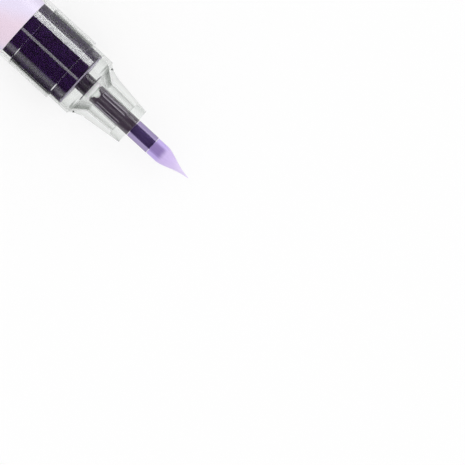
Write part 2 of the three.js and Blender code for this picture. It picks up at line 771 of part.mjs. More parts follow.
// A blade with a bump near its free end and a root that plugs into the cap's wall.
function makeClip() {
  const rootRear = capRear + CLIP_END_SETBACK;
  const rootFront = rootRear + CLIP_ROOT_LENGTH;
  const bladeFront = rootRear + CLIP_LENGTH;
  const rootR = barrelR + CLIP_CAP_GAP;
  const round = CLIP_THICKNESS / 2;
  const bumpStation = bladeFront - CLIP_BUMP_SETBACK;
  const bumpR = rootR + CLIP_BUMP_R;
  const outline = [
    [rootRear, rootR],
    [rootFront, rootR],
    [rootFront, clipInnerR],
    ...arc(bumpStation, bumpR, CLIP_BUMP_R, Math.PI, 2 * Math.PI),
    ...arc(bladeFront - round, clipInnerR + round, round, -Math.PI / 2, Math.PI / 2),
    [rootRear + round, clipOuterR],
    [rootRear, clipOuterR - round],
  ];
  const shape = new THREE.Shape(outline.map(([station, radius]) => new THREE.Vector2(station, radius)));
  const blade = new THREE.ExtrudeGeometry(shape, { depth: CLIP_WIDTH, bevelEnabled: false });
  blade.translate(0, 0, -CLIP_WIDTH / 2).rotateX(Math.PI / 2);
  const tenonMiddle = (rootRear + rootFront) / 2;
  const tenon = block(
    [tenonMiddle - CLIP_TENON_LENGTH / 2, -CLIP_TENON_WIDTH / 2, tenonFloorR()],
    [tenonMiddle + CLIP_TENON_LENGTH / 2, CLIP_TENON_WIDTH / 2, rootR + round],
  );
  return toClipSide(solidOf(blade).add(tenon));
}

// Materials
const clear = new THREE.MeshStandardMaterial({
  color: 0xe6ebe8,
  roughness: 0.08,
  metalness: 0,
  transparent: true,
  opacity: 0.35,
});
const print = new THREE.MeshStandardMaterial({ color: 0xe3d0e4, roughness: 0.35, metalness: 0 });
const paintColour = new THREE.MeshStandardMaterial({ color: 0x2b1a40, roughness: 0.2, metalness: 0 });
const darkPlastic = new THREE.MeshStandardMaterial({ color: 0x3a2f40, roughness: 0.3, metalness: 0 });
const whitePlastic = new THREE.MeshStandardMaterial({ color: 0xf2eff5, roughness: 0.45, metalness: 0 });
const violetPlastic = new THREE.MeshStandardMaterial({ color: 0x4b3566, roughness: 0.25, metalness: 0 });
const fibre = new THREE.MeshStandardMaterial({ color: 0xb9a1e0, roughness: 0.8, metalness: 0 });
const rubber = new THREE.MeshStandardMaterial({ color: 0x222024, roughness: 0.75, metalness: 0 });
const steel = new THREE.MeshStandardMaterial({ color: 0xb8babd, roughness: 0.2, metalness: 1 });

const marker = new THREE.Group();
marker.position.set(-middle, axisSide, axisHeight);

// Adds one solid to the marker as a named mesh.
function place(name, solid, material) {
  const { vertProperties, triVerts } = solid.getMesh();
  const geometry = new THREE.BufferGeometry();
  geometry.setAttribute("position", new THREE.Float32BufferAttribute(vertProperties, 3));
  geometry.setIndex(new THREE.BufferAttribute(new Uint32Array(triVerts), 1));
  geometry.computeVertexNormals();
  const mesh = new THREE.Mesh(geometry, material);
  mesh.name = name;
  marker.add(mesh);
}

place("barrel", makeBarrel(), clear);
place("paint_tank", makeTank(), clear);
place("label_wrap", makeLabel(), print);
place("paint", makePaint(), paintColour);
place("mixing_ball", makeBall(), steel);
place("tank_plug", makeTankPlug(), whitePlastic);
place("nose", makeNose(), clear);
place("front_gasket", makeGasket(), whitePlastic);
place("valve_body", makeValveBody(), darkPlastic);
place("valve_retainer", makeRetainer(), darkPlastic);
place("valve_spring", makeSpring(), steel);
place("valve_stem", makeStem(), darkPlastic);
place("stem_seal", makeSeal(), rubber);
place("stem_tip", makeTip(), whitePlastic);
place("nib_guide", makeGuide(), clear);
place("nib_holder", makeHolder(), darkPlastic);
place("nib_ferrule", makeFerrule(), violetPlastic);
place("brush_nib", makeBrush(), fibre);
place("rear_plug", makeRearPlug(), violetPlastic);
place("rear_ring", makeRing(), rubber);
place("cap_shell", makeCap(), violetPlastic);
place("cap_button", makeButton(), fibre);
place("cap_liner", makeLiner(), whitePlastic);
place("cap_clip", makeClip(), violetPlastic);

export default marker;
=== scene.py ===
"""Looks of a valve-action brush marker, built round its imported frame.

The marker lies on a pale table with its cap posted on the rear end. Stations are millimetres along the
marker's axis, measured from the front rim of the clear barrel, and positive towards the brush. Lengths in the
classes' fields are millimetres too, unless they say otherwise.
"""

import logging
import math
from dataclasses import dataclass
from enum import Enum
from typing import Any, ClassVar, Mapping, Sequence

import bpy
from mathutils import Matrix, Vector


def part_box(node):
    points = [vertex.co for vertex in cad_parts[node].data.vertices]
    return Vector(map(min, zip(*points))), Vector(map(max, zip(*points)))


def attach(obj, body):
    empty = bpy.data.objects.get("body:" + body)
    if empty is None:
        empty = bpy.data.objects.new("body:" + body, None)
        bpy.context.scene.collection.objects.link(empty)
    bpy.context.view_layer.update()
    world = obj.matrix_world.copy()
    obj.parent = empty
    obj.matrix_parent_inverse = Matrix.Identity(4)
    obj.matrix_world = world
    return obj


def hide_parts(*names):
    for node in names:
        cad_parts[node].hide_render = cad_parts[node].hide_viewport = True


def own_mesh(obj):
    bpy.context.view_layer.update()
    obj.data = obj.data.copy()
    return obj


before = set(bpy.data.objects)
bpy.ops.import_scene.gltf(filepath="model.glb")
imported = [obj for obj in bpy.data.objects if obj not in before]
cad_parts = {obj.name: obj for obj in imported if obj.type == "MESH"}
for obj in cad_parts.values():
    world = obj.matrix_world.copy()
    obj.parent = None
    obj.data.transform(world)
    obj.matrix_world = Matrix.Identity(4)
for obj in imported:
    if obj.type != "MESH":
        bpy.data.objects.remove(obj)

LOG = logging.getLogger("marker")
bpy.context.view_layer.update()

MM = 0.001
FULL_TURN = 2 * math.pi
FIT = 0.05  # radial gap between pieces that are pressed together
SEAT = 0.1  # gap between faces that meet
OVERSHOOT = 1.0  # how far a cutting shape stands out of what it cuts
SUPPORT = 0.04  # distance of a supporting ring from the corner that it holds
LONG = 6 * SUPPORT  # shortest stretch of a profile that gets supporting rings
ON_AXIS = 1e-6  # radius under which a profile's point lies on the axis
SAME_PLACE = 1e-9  # distance under which two corners are one
MOST_ROUNDED = 0.45  # share of a side that a fillet may take
SHARP_ANGLE = math.radians(32)
ALMOST_NONE = 0.5  # between the whole numbers 0 and 1, for counts of a ray's bounces

Point = tuple[float, float]
Corner = tuple[float, float, float]
Colour = tuple[float, float, float]


class Body(Enum):
    """The rigid bodies that a piece can ride on."""

    MARKER = "marker_body"
    NIB = "nib_assembly"
    BALL = "ball"
    CAP = "cap"


class Slot(Enum):
    """The record's material slots."""

    CLEAR = "clear_plastic"
    WHITE = "white_plastic"
    DARK = "dark_plastic"
    VIOLET = "violet_plastic"
    LILAC = "lilac_plastic"
    LABEL = "label_film"
    PAINT = "violet_paint"
    FIBRE = "nib_fibre"
    RUBBER = "black_rubber"
    STEEL = "steel"


class Sides(Enum):
    """How many steps a turned piece has round the axis."""

    WIDE = 160
    MIDDLE = 112
    SMALL = 72


class Change(Enum):
    """What a second shape does to a piece."""

    CUT = "DIFFERENCE"
    JOIN = "UNION"


class Kind(Enum):
    """The kinds of node groups."""

    SHADER = "ShaderNodeTree"
    GEOMETRY = "GeometryNodeTree"


@dataclass(frozen=True)
class Span:
    """Where a turned CAD node lies on the axis."""

    rear: float  # station of its rear end
    front: float  # station of its front end
    radius: float  # largest radius, taken at the middle of a facet


@dataclass(frozen=True)
class Axis:
    """The marker's axis in the frame, in metres."""

    rim_x: float  # place of station 0, the front rim of the barrel
    y: float  # sideways place of the axis
    z: float  # height of the axis over the table

    @classmethod
    def of_barrel(cls) -> "Axis":
        """Returns the axis of the CAD barrel."""
        low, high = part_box("barrel")
        return cls(rim_x=high.x, y=(low.y + high.y) / 2, z=(low.z + high.z) / 2)

    def span(self, node: str) -> Span:
        """Returns where the turned CAD node of a name lies."""
        low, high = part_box(node)
        return Span((low.x - self.rim_x) / MM, (high.x - self.rim_x) / MM, (high.z - low.z) / 2 / MM)

    def place(self, station: float, radius: float, angle: float) -> Vector:
        """Finds a point in the frame.

        Args:
            station: Millimetres along the axis.
            radius: Millimetres from the axis.
            angle: Angle round the axis, 0 straight up and a quarter turn towards -Y.

        Returns:
            The point, in metres.
        """
        aside, up = radius * MM * math.sin(angle), radius * MM * math.cos(angle)
        return Vector((self.rim_x + station * MM, self.y - aside, self.z + up))

    def beside(self, station: float, side: float, reach: float, angle: float) -> Vector:
        """Finds a point by its place in an upright frame that is turned about the axis.

        Args:
            station: Millimetres along the axis.
            side: Millimetres sideways from the frame's middle plane.
            reach: Millimetres from the axis along that plane.
            angle: Angle of the plane, 0 straight up and a quarter turn towards -Y.

        Returns:
            The point, in metres.
        """
        return self.place(station, math.hypot(side, reach), angle + math.atan2(side, reach))


AXIS = Axis.of_barrel()


def arc(centre: Point, radius: float, start: float, sweep: float, steps: int) -> list[Point]:
    """Lays points on an arc.

    Args:
        centre: Its centre.
        radius: Its radius.
        start: Angle of its first point.
        sweep: Angle from its first point to its last.
        steps: How many steps it has.

    Returns:
        The points.
    """
    angles = [start + sweep * k / steps for k in range(steps + 1)]
    return [(centre[0] + radius * math.cos(angle), centre[1] + radius * math.sin(angle)) for angle in angles]


def bent(start: Vector, pull: Vector, end: Vector, share: float) -> Point:
    """Finds a point of a curve that leaves its start and reaches its end towards one pulling point.

    Args:
        start: Where the curve starts.
        pull: The pulling point.
        end: Where the curve ends.
        share: How far along the curve the point lies, from 0 to 1.

    Returns:
        The point.
    """
    mixed = start * (1 - share) ** 2 + pull * 2 * share * (1 - share) + end * share**2
    return mixed.x, mixed.y


def filleted(corners: Sequence[Corner], steps: int) -> list[Point]:
    """Rounds the corners of a closed outline.

    Args:
        corners: Station, radius and fillet of each corner.
        steps: How many steps a rounded corner has.

    Returns:
        The points of the rounded outline.
    """
    points: list[Point] = []
    for i, (station, radius, fillet) in enumerate(corners):
        here = Vector((station, radius))
        before = Vector(corners[i - 1][:2]) - here
        after = Vector(corners[(i + 1) % len(corners)][:2]) - here
        if fillet <= 0 or min(before.length, after.length) < SAME_PLACE:
            points.append((station, radius))
            continue
        half = before.angle(after) / 2
        reach = min(fillet / math.tan(half), *(MOST_ROUNDED * side.length for side in (before, after)))
        ends = (here + before.normalized() * reach, here + after.normalized() * reach)
        points += [bent(ends[0], here, ends[1], k / steps) for k in range(steps + 1)]
    return points


def supported(profile: Sequence[Point]) -> list[Point]:
    """Adds a point close to each end of a profile's long stretches, so that they shade straight.

    Args:
        profile: Station and radius of each point. The profile is closed unless it starts on the axis.

    Returns:
        The points with those added.
    """
    closed = [profile[0]] if profile[0][1] > ON_AXIS else []
    points: list[Point] = []
    for here, after in zip(profile, [*profile[1:], *closed]):
        points.append(here)
        step = (after[0] - here[0], after[1] - here[1])
        length = math.hypot(*step)
        if length > LONG:
            shares = (SUPPORT / length, 1 - SUPPORT / length)
            points += [(here[0] + share * step[0], here[1] + share * step[1]) for share in shares]
    return points if closed else [*points, profile[-1]]


def new_object(name: str, data: bpy.types.ID) -> bpy.types.Object:
    """Links a mesh, a light or a camera to the scene as an object at the origin.

    Args:
        name: Name of the object.
        data: The mesh, the light or the camera.

    Returns:
        The object.
    """
    made = bpy.data.objects.new(name, data)
    bpy.context.scene.collection.objects.link(made)
    return made


def finish_shading(mesh: bpy.types.Mesh) -> None:
    """Shades a mesh smooth, with hard edges where its faces turn sharply."""
    mesh.shade_smooth()
    mesh.set_sharp_from_angle(angle=SHARP_ANGLE)


def closed_body(name: str, points: Sequence[Vector], faces: Sequence[Sequence[int]]) -> bpy.types.Object:
    """Makes an object with a closed mesh whose faces point outwards.

    Args:
        name: Name of the object.
        points: Its vertices, in metres.
        faces: Its faces, wound alike.

    Returns:
        The object, with its shading set.
    """
    centre = sum(points, Vector()) / len(points)
    arms = [point - centre for point in points]
    fans = ((face[0], face[k], face[k + 1]) for face in faces for k in range(1, len(face) - 1))
    if sum(arms[a].dot(arms[b].cross(arms[c])) for a, b, c in fans) < 0:
        faces = [tuple(reversed(face)) for face in faces]
    mesh = bpy.data.meshes.new(name)
    mesh.from_pydata([tuple(point) for point in points], [], faces)
    mesh.update()
    finish_shading(mesh)
    return new_object(name, mesh)


def turned(
    name: str, corners: Sequence[Corner], sides: Sides = Sides.WIDE, steps: int = 5
) -> bpy.types.Object:
    """Turns a profile about the marker's axis.

    Args:
        name: Name of the piece.
        corners: Station, radius and fillet of each corner, in a closed loop or from axis to axis.
        sides: How many steps the piece has round the axis.
        steps: How many steps a rounded corner has.

    Returns:
        The piece.
    """
    count = sides.value
    points: list[Vector] = []
    rings: list[list[int]] = []
    for station, radius in supported(filleted(corners, steps)):
        first = len(points)
        if radius < ON_AXIS:
            points.append(AXIS.place(station, 0, 0))
            rings.append([first] * count)
        else:
            points += [AXIS.place(station, radius, FULL_TURN * k / count) for k in range(count)]
            rings.append(list(range(first, first + count)))
    solid = rings[0][0] == rings[0][1]
    faces: list[tuple[int, ...]] = []
    for near, far in zip(rings, rings[1:] if solid else rings[1:] + rings[:1]):
        for k in range(count):
            after = (k + 1) % count
            face = tuple(dict.fromkeys((near[k], near[after], far[after], far[k])))
            if len(face) > 2:
                faces.append(face)
    return closed_body(name, points, faces)


def sleeve(
    span: Span, bore: float, inside: float, outside: float, front: float | None = None
) -> list[Corner]:
    """Lays out the profile of a plain sleeve.

    Args:
        span: Where it lies, and its outer radius.
        bore: Radius of its bore.
        inside: Rounding of the bore's ends.
        outside: Rounding of its rims.
        front: Rounding of the bore's front end, where it differs.

    Returns:
        The profile's corners.
    """
    return [
        (span.rear, bore, inside), (span.rear, span.radius, outside),
        (span.front, span.radius, outside), (span.front, bore, inside if front is None else front),
    ]


def prism(name: str, near: Sequence[Vector], far: Sequence[Vector]) -> bpy.types.Object:
    """Makes a closed body between two copies of an outline.

    Args:
        name: Name of the piece.
        near: The outline's points on one end.
        far: The same points on the other end.

    Returns:
        The piece.
    """
    count = len(near)
    walls = [((k + 1) % count, k, count + k, count + (k + 1) % count) for k in range(count)]
    ends = [tuple(range(count)), tuple(range(2 * count - 1, count - 1, -1))]
    return closed_body(name, [*near, *far], ends + walls)


def tongue(name: str, span: Point, widths: Point, heights: Point, angle: float) -> bpy.types.Object:
    """Makes a tapering bar with a round front end, which stands on the marker's axis.

    Args:
        name: Name of the piece.
        span: Stations of its rear and front end.
        widths: Half its width at the rear, and the rounding of its front end.
        heights: Distances of its foot and its top from the axis.
        angle: Its angle round the axis.

    Returns:
        The piece.
    """
    (rear, front), (mouth, rounding) = span, widths
    end = arc((front - rounding, 0.0), rounding, math.pi / 2, -math.pi, 16)
    outline = [(rear, mouth), *end, (rear, -mouth)]
    layers = [[AXIS.beside(station, side, reach, angle) for station, side in outline] for reach in heights]
    return prism(name, *layers)


def bake_modifiers(piece: bpy.types.Object) -> None:
    """Gives a piece the mesh that its modifiers make, and removes them.

    Args:
        piece: The piece.
    """
    bpy.context.view_layer.update()
    graph = bpy.context.evaluated_depsgraph_get()
    mesh = bpy.data.meshes.new_from_object(piece.evaluated_get(graph), depsgraph=graph)
    piece.modifiers.clear()
    piece.data = mesh
    finish_shading(mesh)


def combine(piece: bpy.types.Object, other: bpy.types.Object, change: Change) -> None:
    """Cuts a closed shape out of a piece, or joins it on. The shape is then removed.

    Args:
        piece: The piece.
        other: The shape.
        change: What the shape does to the piece.
    """
    modifier = piece.modifiers.new("combine", "BOOLEAN")
    modifier.operation = change.value
    modifier.solver = "EXACT"
    modifier.object = other
    bake_modifiers(piece)
    bpy.data.objects.remove(other)


def dress(piece: bpy.types.Object, material: bpy.types.Material, body: Body, node: str) -> None:
    """Gives a piece its finish and its place in the frame.

    Args:
        piece: The piece, with its final mesh.
        material: Its finish.
        body: The body that it rides on.
        node: The CAD node that it stands for.
    """
    piece.data.materials.clear()
    piece.data.materials.append(material)
    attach(piece, body.value)
    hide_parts(node)
    LOG.info("%s: %d faces, rides on %s", piece.name, len(piece.data.polygons), body.value)


class Wire:
    """A node's output that arithmetic works on. Each operation adds a math node to the tree."""

    def __init__(self, wiring: "Wiring", socket: bpy.types.NodeSocket) -> None:
        """Holds an output.

        Args:
            wiring: The wiring of its tree.
            socket: The output.
        """
        self.wiring = wiring
        self.socket = socket

    def __add__(self, other: Any) -> "Wire":
        """Returns the sum."""
        return self.wiring.math("ADD", self, other)

    def __sub__(self, other: Any) -> "Wire":
        """Returns the difference."""
        return self.wiring.math("SUBTRACT", self, other)

    def __rsub__(self, other: Any) -> "Wire":
        """Returns the difference from a number."""
        return self.wiring.math("SUBTRACT", other, self)

    def __mul__(self, other: Any) -> "Wire":
        """Returns the product."""
        return self.wiring.math("MULTIPLY", self, other)

    def __truediv__(self, other: Any) -> "Wire":
        """Returns the quotient."""
        return self.wiring.math("DIVIDE", self, other)

    def __rtruediv__(self, other: Any) -> "Wire":
        """Returns a number's quotient."""
        return self.wiring.math("DIVIDE", other, self)

    def __lt__(self, other: Any) -> "Wire":
        """Returns 1 where it is less, and 0 elsewhere."""
        return self.wiring.math("LESS_THAN", self, other)

    def __gt__(self, other: Any) -> "Wire":
        """Returns 1 where it is greater, and 0 elsewhere."""
        return self.wiring.math("GREATER_THAN", self, other)

    def __abs__(self) -> "Wire":
        """Returns the size without the sign."""
        return self.wiring.math("ABSOLUTE", self)

    def most(self, other: Any) -> "Wire":
        """Returns the greater of the two."""
        return self.wiring.math("MAXIMUM", self, other)

    def step(self, low: Any, high: Any) -> "Wire":
        """Returns a smooth step from 0 at low to 1 at high."""
        inputs = {"Value": self, "From Min": low, "From Max": high}
        return self.wiring.add("ShaderNodeMapRange", inputs, interpolation_type="SMOOTHSTEP")["Result"]

    def clamped(self) -> "Wire":
        """Keeps the result of the math node from 0 to 1."""
        self.socket.node.use_clamp = True
        return self


class Node:
    """A node of a tree, whose outputs are read by name or number."""

    def __init__(self, wiring: "Wiring", node: bpy.types.Node) -> None:
        """Holds a node.

        Args:
            wiring: The wiring of its tree.
            node: The node.
        """
        self.wiring = wiring
        self.node = node

    def __getitem__(self, output: str | int) -> Wire:
        """Returns an output."""
        return Wire(self.wiring, self.node.outputs[output])

    def feed(self, inputs: Mapping[Any, Any]) -> None:
        """Feeds the node.

        Args:
            inputs: Name or number of each input to its value, or to the wire that feeds it.
        """
        for key, value in inputs.items():
            socket = self.node.inputs[key]
            if isinstance(value, Wire):
                self.wiring.tree.links.new(value.socket, socket)
            elif socket.type == "RGBA":
                socket.default_value = (*value, 1)
            else:
                socket.default_value = value


class Wiring:
    """Adds nodes to a node tree."""

    def __init__(self, tree: bpy.types.NodeTree) -> None:
        """Starts with a tree.

        Args:
            tree: The tree that the nodes go to.
        """
        self.tree = tree

    @classmethod
    def of(cls, owner: bpy.types.ID) -> "Wiring":
        """Clears the nodes of a material, a world or a light away.

        Args:
            owner: The material, the world or the light.

        Returns:
            The wiring of its tree.
        """
        owner.use_nodes = True
        owner.node_tree.nodes.clear()
        return cls(owner.node_tree)

    def add(self, kind: str, inputs: Mapping[Any, Any] | None = None, **settings: Any) -> Node:
        """Adds a node.

        Args:
            kind: The node's type name.
            inputs: Name or number of each input to its value, or to the wire that feeds it.
            **settings: Properties of the node.

        Returns:
            The node.
        """
        node = self.tree.nodes.new(kind)
        for key, value in settings.items():
            setattr(node, key, value)
        made = Node(self, node)
        made.feed(inputs or {})
        return made

    def math(self, operation: str, *values: Any) -> Wire:
        """Adds a math node with an operation's name and its values, and returns its output."""
        return self.add("ShaderNodeMath", dict(enumerate(values)), operation=operation)[0]

    def mix(self, factor: Any, first: Any, second: Any, blend: str = "MIX") -> Wire:
        """Adds a colour mix and returns its output."""
        inputs = {0: factor, 6: first, 7: second}
        return self.add("ShaderNodeMix", inputs, data_type="RGBA", blend_type=blend)[2]

    def group(self, tree: bpy.types.NodeTree, **inputs: float) -> Node:
        """Adds a shader group with its inputs by name, and returns its node."""
        return self.add("ShaderNodeGroup", inputs, node_tree=tree)

    def noise(self, place: Wire, scale: Any, detail: float, **more: float) -> Wire:
        """Adds a noise texture and returns its output from 0 to 1."""
        inputs = {"Vector": place, "Scale": scale, "Detail": detail, **more}
        return self.add("ShaderNodeTexNoise", inputs)["Fac"]

    def combine(self, first: Any, second: Any, third: Any) -> Wire:
        """Adds a node that makes a vector of three numbers, and returns its output."""
        return self.add("ShaderNodeCombineXYZ", {0: first, 1: second, 2: third})[0]

    def object_place(self) -> Wire:
        """Returns the shaded point's place, in metres."""
        return self.add("ShaderNodeTexCoord")["Object"]

    def split(self, vector: Wire) -> Node:
        """Adds a node that splits a vector into X, Y and Z, and returns it."""
        return self.add("ShaderNodeSeparateXYZ", {0: vector})

    def facing(self) -> Wire:
        """Returns how far the surface turns away, from 0 face on to 1 edge on."""
        return self.add("ShaderNodeLayerWeight", {"Blend": 0.5})["Facing"]

    def bump(self, height: Wire, depth: float) -> Wire:
        """Returns the normal of a surface with bumps of a height and a depth in millimetres."""
        return self.add("ShaderNodeBump", {"Height": height, "Distance": depth * MM, "Strength": 1.0})[0]


SOCKETS = {float: "NodeSocketFloat", int: "NodeSocketInt", type(None): "NodeSocketGeometry"}


def new_group(
    name: str, kind: Kind, inputs: Mapping[str, float | int | None], outputs: Sequence[str]
) -> tuple[Wiring, Node, Node]:
    """Makes an empty node group.

    Args:
        name: Name of the group.
        kind: Its kind. The outputs of a shader group are numbers.
        inputs: Name to default value. A value of None makes a geometry input.
        outputs: Names of the outputs.

    Returns:
        The group's wiring, its input node and its output node.
    """
    tree = bpy.data.node_groups.new(name, kind.value)
    for label, value in inputs.items():
        socket = tree.interface.new_socket(name=label, in_out="INPUT", socket_type=SOCKETS[type(value)])
        if value is not None:
            socket.default_value = value
    output_type = SOCKETS[float if kind is Kind.SHADER else type(None)]
    for label in outputs:
        tree.interface.new_socket(name=label, in_out="OUTPUT", socket_type=output_type)
    wiring = Wiring(tree)
    return wiring, wiring.add("NodeGroupInput"), wiring.add("NodeGroupOutput")


def shaded_place(wiring: Wiring) -> tuple[Wire, Wire, Wire]:
    """Adds the nodes that find where a shaded point lies about the marker's axis.

    Args:
        wiring: The wiring of a material or of a shader group.

    Returns:
        The station, the angle in turns from straight up towards -Y, and the radius.
    """
    place = wiring.split(wiring.object_place())
    side = AXIS.y - place["Y"]
    rise = place["Z"] - AXIS.z
    turn = wiring.math("ARCTAN2", side, rise) / FULL_TURN
    return (place["X"] - AXIS.rim_x) / MM, turn, wiring.math("SQRT", side * side + rise * rise) / MM


class ShaderGroups:
    """The shader node groups that the finishes share. Each is built once."""

    CLOUD_SCALE = 0.06  # scale of the soft patches, as a share of the grain's
    STRETCH = 0.06  # how much the handling marks are drawn out along the marker
    WORN = (0.78, 0.2, 0.12)  # the streaks' threshold, how far their amount lowers it, and its softness

    def __init__(self) -> None:
        """Builds the groups."""
        self.axial = self._axial()
        self.grain = self._grain()
        self.marks = self._marks()

    @staticmethod
    def _axial() -> bpy.types.NodeTree:
        """Builds the group that gives a point's station, its angle round the axis and its radius.

        Returns:
            The group.
        """
        outputs = ("Station", "Turn", "Radius")
        wiring, _, out = new_group("station_and_turn", Kind.SHADER, {}, outputs)
        out.feed(dict(zip(outputs, shaded_place(wiring))))
        return wiring.tree

    def _grain(self) -> bpy.types.NodeTree:
        """Builds the group for the fine skin of a moulded surface.

        Returns:
            The group.
        """
        inputs = {"Size": 0.3, "Roughness": 0.3, "Spread": 0.06}
        outputs = ("Height", "Roughness", "Cloud")
        wiring, into, out = new_group("moulded_skin", Kind.SHADER, inputs, outputs)
        place = wiring.object_place()
        scale = 1 / MM / into["Size"]
        cloud = wiring.noise(place, scale * self.CLOUD_SCALE, 2.0)
        swing = (cloud - 0.5) * into["Spread"]
        out.feed({
            "Height": wiring.noise(place, scale, 3.0),
            "Roughness": (swing * 2.0 + into["Roughness"]).clamped(),
            "Cloud": cloud,
        })
        return wiring.tree

    def _marks(self) -> bpy.types.NodeTree:
        """Builds the group for faint handling marks that run along the marker.

        Returns:
            The group.
        """
        inputs = {"Size": 0.2, "Amount": 0.3}
        wiring, into, out = new_group("handling_marks", Kind.SHADER, inputs, ("Mask",))
        mapping = {"Vector": wiring.object_place(), "Scale": (self.STRETCH, 1, 1)}
        streak = wiring.noise(wiring.add("ShaderNodeMapping", mapping)[0], 1 / MM / into["Size"], 4.0)
        threshold, lowering, softness = self.WORN
        floor = threshold - into["Amount"] * lowering
        out.feed({"Mask": streak.step(floor, floor + softness)})
        return wiring.tree


GROUPS = ShaderGroups()


def new_material(name: str) -> tuple[bpy.types.Material, Wiring, Node, Node]:
    """Makes a material with a Principled shader.

    Args:
        name: Name of the material.

    Returns:
        The material, its wiring, its shader and its output node.
    """
    material = bpy.data.materials.new(name)
    wiring = Wiring.of(material)
    shader = wiring.add("ShaderNodeBsdfPrincipled")
    return material, wiring, shader, wiring.add("ShaderNodeOutputMaterial", {"Surface": shader[0]})


@dataclass(frozen=True)
class ClearPlastic:
    """Clear moulded plastic with a slight tint, which lets light through to the table."""

    name: str  # name of the material
    tint: Colour  # colour of what passes through it face on
    edge: Colour = (0.88, 0.89, 0.88)  # painted shade: darker colour of what passes through where the wall turns away, standing in for refraction at its edge
    fade: float = 3.0  # how narrow the painted edge shade is
    slope: Point | None = None  # stations between which its inner cone runs
    frosted: tuple[float, ...] = ()  # stations of its frosted rims, which also carry a painted glint
    roughness: float = 0.0  # roughness of its surface
    shade: float = 0.99  # share of the light for matt surfaces that passes through each face
    cone: Colour = (0.42, 0.44, 0.42)  # painted shade: grey of what passes through the inner cone where its wall turns steeply away, standing in for its refraction lines
    cone_shade_ends: Point = (0.4, 0.3)  # lengths over which that painted shade sets in and fades out
    # how much a line between the cone and the outside falls per station, and its radius at 0
    cone_shade_line: Point = (0.6, 9.0)
    # how far a wall turns away where the cone's painted shade sets in, and where it is full
    steep: Point = (0.3, 0.55)
    bend: float = 1.06  # refractive index, low as the thin walls hardly shift what lies behind them
    gloss: float = 0.2  # weight of the clear gloss on its surface
    wear: float = 0.03  # how much rougher a handling mark is
    ring: Point = (0.12, 0.06)  # distances from a frosted rim's station at which the frost ends, and is full
    glint_turn: float = 0.118  # where the rims' painted glint is, in turns from straight up towards -Y
    glint_reach: Point = (0.026, 0.012)  # turns from there at which the painted glint ends, and is full
    glint_and_frost: Point = (0.6, 0.02)  # share of white matt in the painted glint, and of real frost all round the rim
    glint_and_frost_colour: Colour = (0.9, 0.9, 0.92)  # colour of the frost and of the painted glint

    def make(self) -> bpy.types.Material:
        """Makes the material.

        Returns:
            The material.
        """
        material, wiring, shader, out = new_material(self.name)
        # Painted shade: the colour darkens where the wall turns away, standing in for the dark edges that
        # refraction gives a clear wall.
        facing = wiring.facing()
        colour = wiring.mix(wiring.math("POWER", facing, self.fade), self.tint, self.edge)
        # The mask of the frost and of the rims' painted glint feeds a mix of shaders, so these nodes stand in
        # the material and not in a group.
        station, turn, reach = shaded_place(wiring)
        # Painted shade: the inner cone's steep walls turn grey, standing in for the dark lines that its
        # refraction gives.
        if self.slope:
            rear, front = self.slope
            cone_shade_span = station.step(rear, rear + self.cone_shade_ends[0])
            cone_shade_span *= station.step(front, front - self.cone_shade_ends[1])
            fall, radius = self.cone_shade_line
            inside = (station * fall + reach < radius) * cone_shade_span
            colour = wiring.mix(inside * facing.step(*self.steep), colour, self.cone)
        marks = wiring.group(GROUPS.marks, Size=0.25, Amount=0.2)
        shader.feed({
            "Base Color": colour,
            "Transmission Weight": 1,
            "IOR": self.bend,
            "Coat Weight": self.gloss,
            "Coat Roughness": 0.0,
            "Roughness": (marks["Mask"] * self.wear + self.roughness).clamped(),
        })
        surface = shader[0]
        # Painted highlight: each frosted rim gets a white matt dash at one turn, which paints the rim's
        # glint; the faint frost all round is the rim's own finish.
        for rim in self.frosted:
            in_glint = abs(turn - self.glint_turn).step(*self.glint_reach)
            share = abs(station - rim).step(*self.ring) * (in_glint * self.glint_and_frost[0] + self.glint_and_frost[1])
            matt = wiring.add("ShaderNodeBsdfDiffuse", {"Color": self.glint_and_frost_colour})[0]
            surface = wiring.add("ShaderNodeMixShader", {0: share, 1: surface, 2: matt})[0]
        path = wiring.add("ShaderNodeLightPath")
        unseen = path["Is Shadow Ray"].most(path["Diffuse Depth"] > ALMOST_NONE)
        lets_through = wiring.add("ShaderNodeBsdfTransparent", {"Color": (self.shade,) * 3})[0]
        mixed = wiring.add("ShaderNodeMixShader", {0: unseen, 1: surface, 2: lets_through})[0]
        out.feed({"Surface": mixed})
        return material


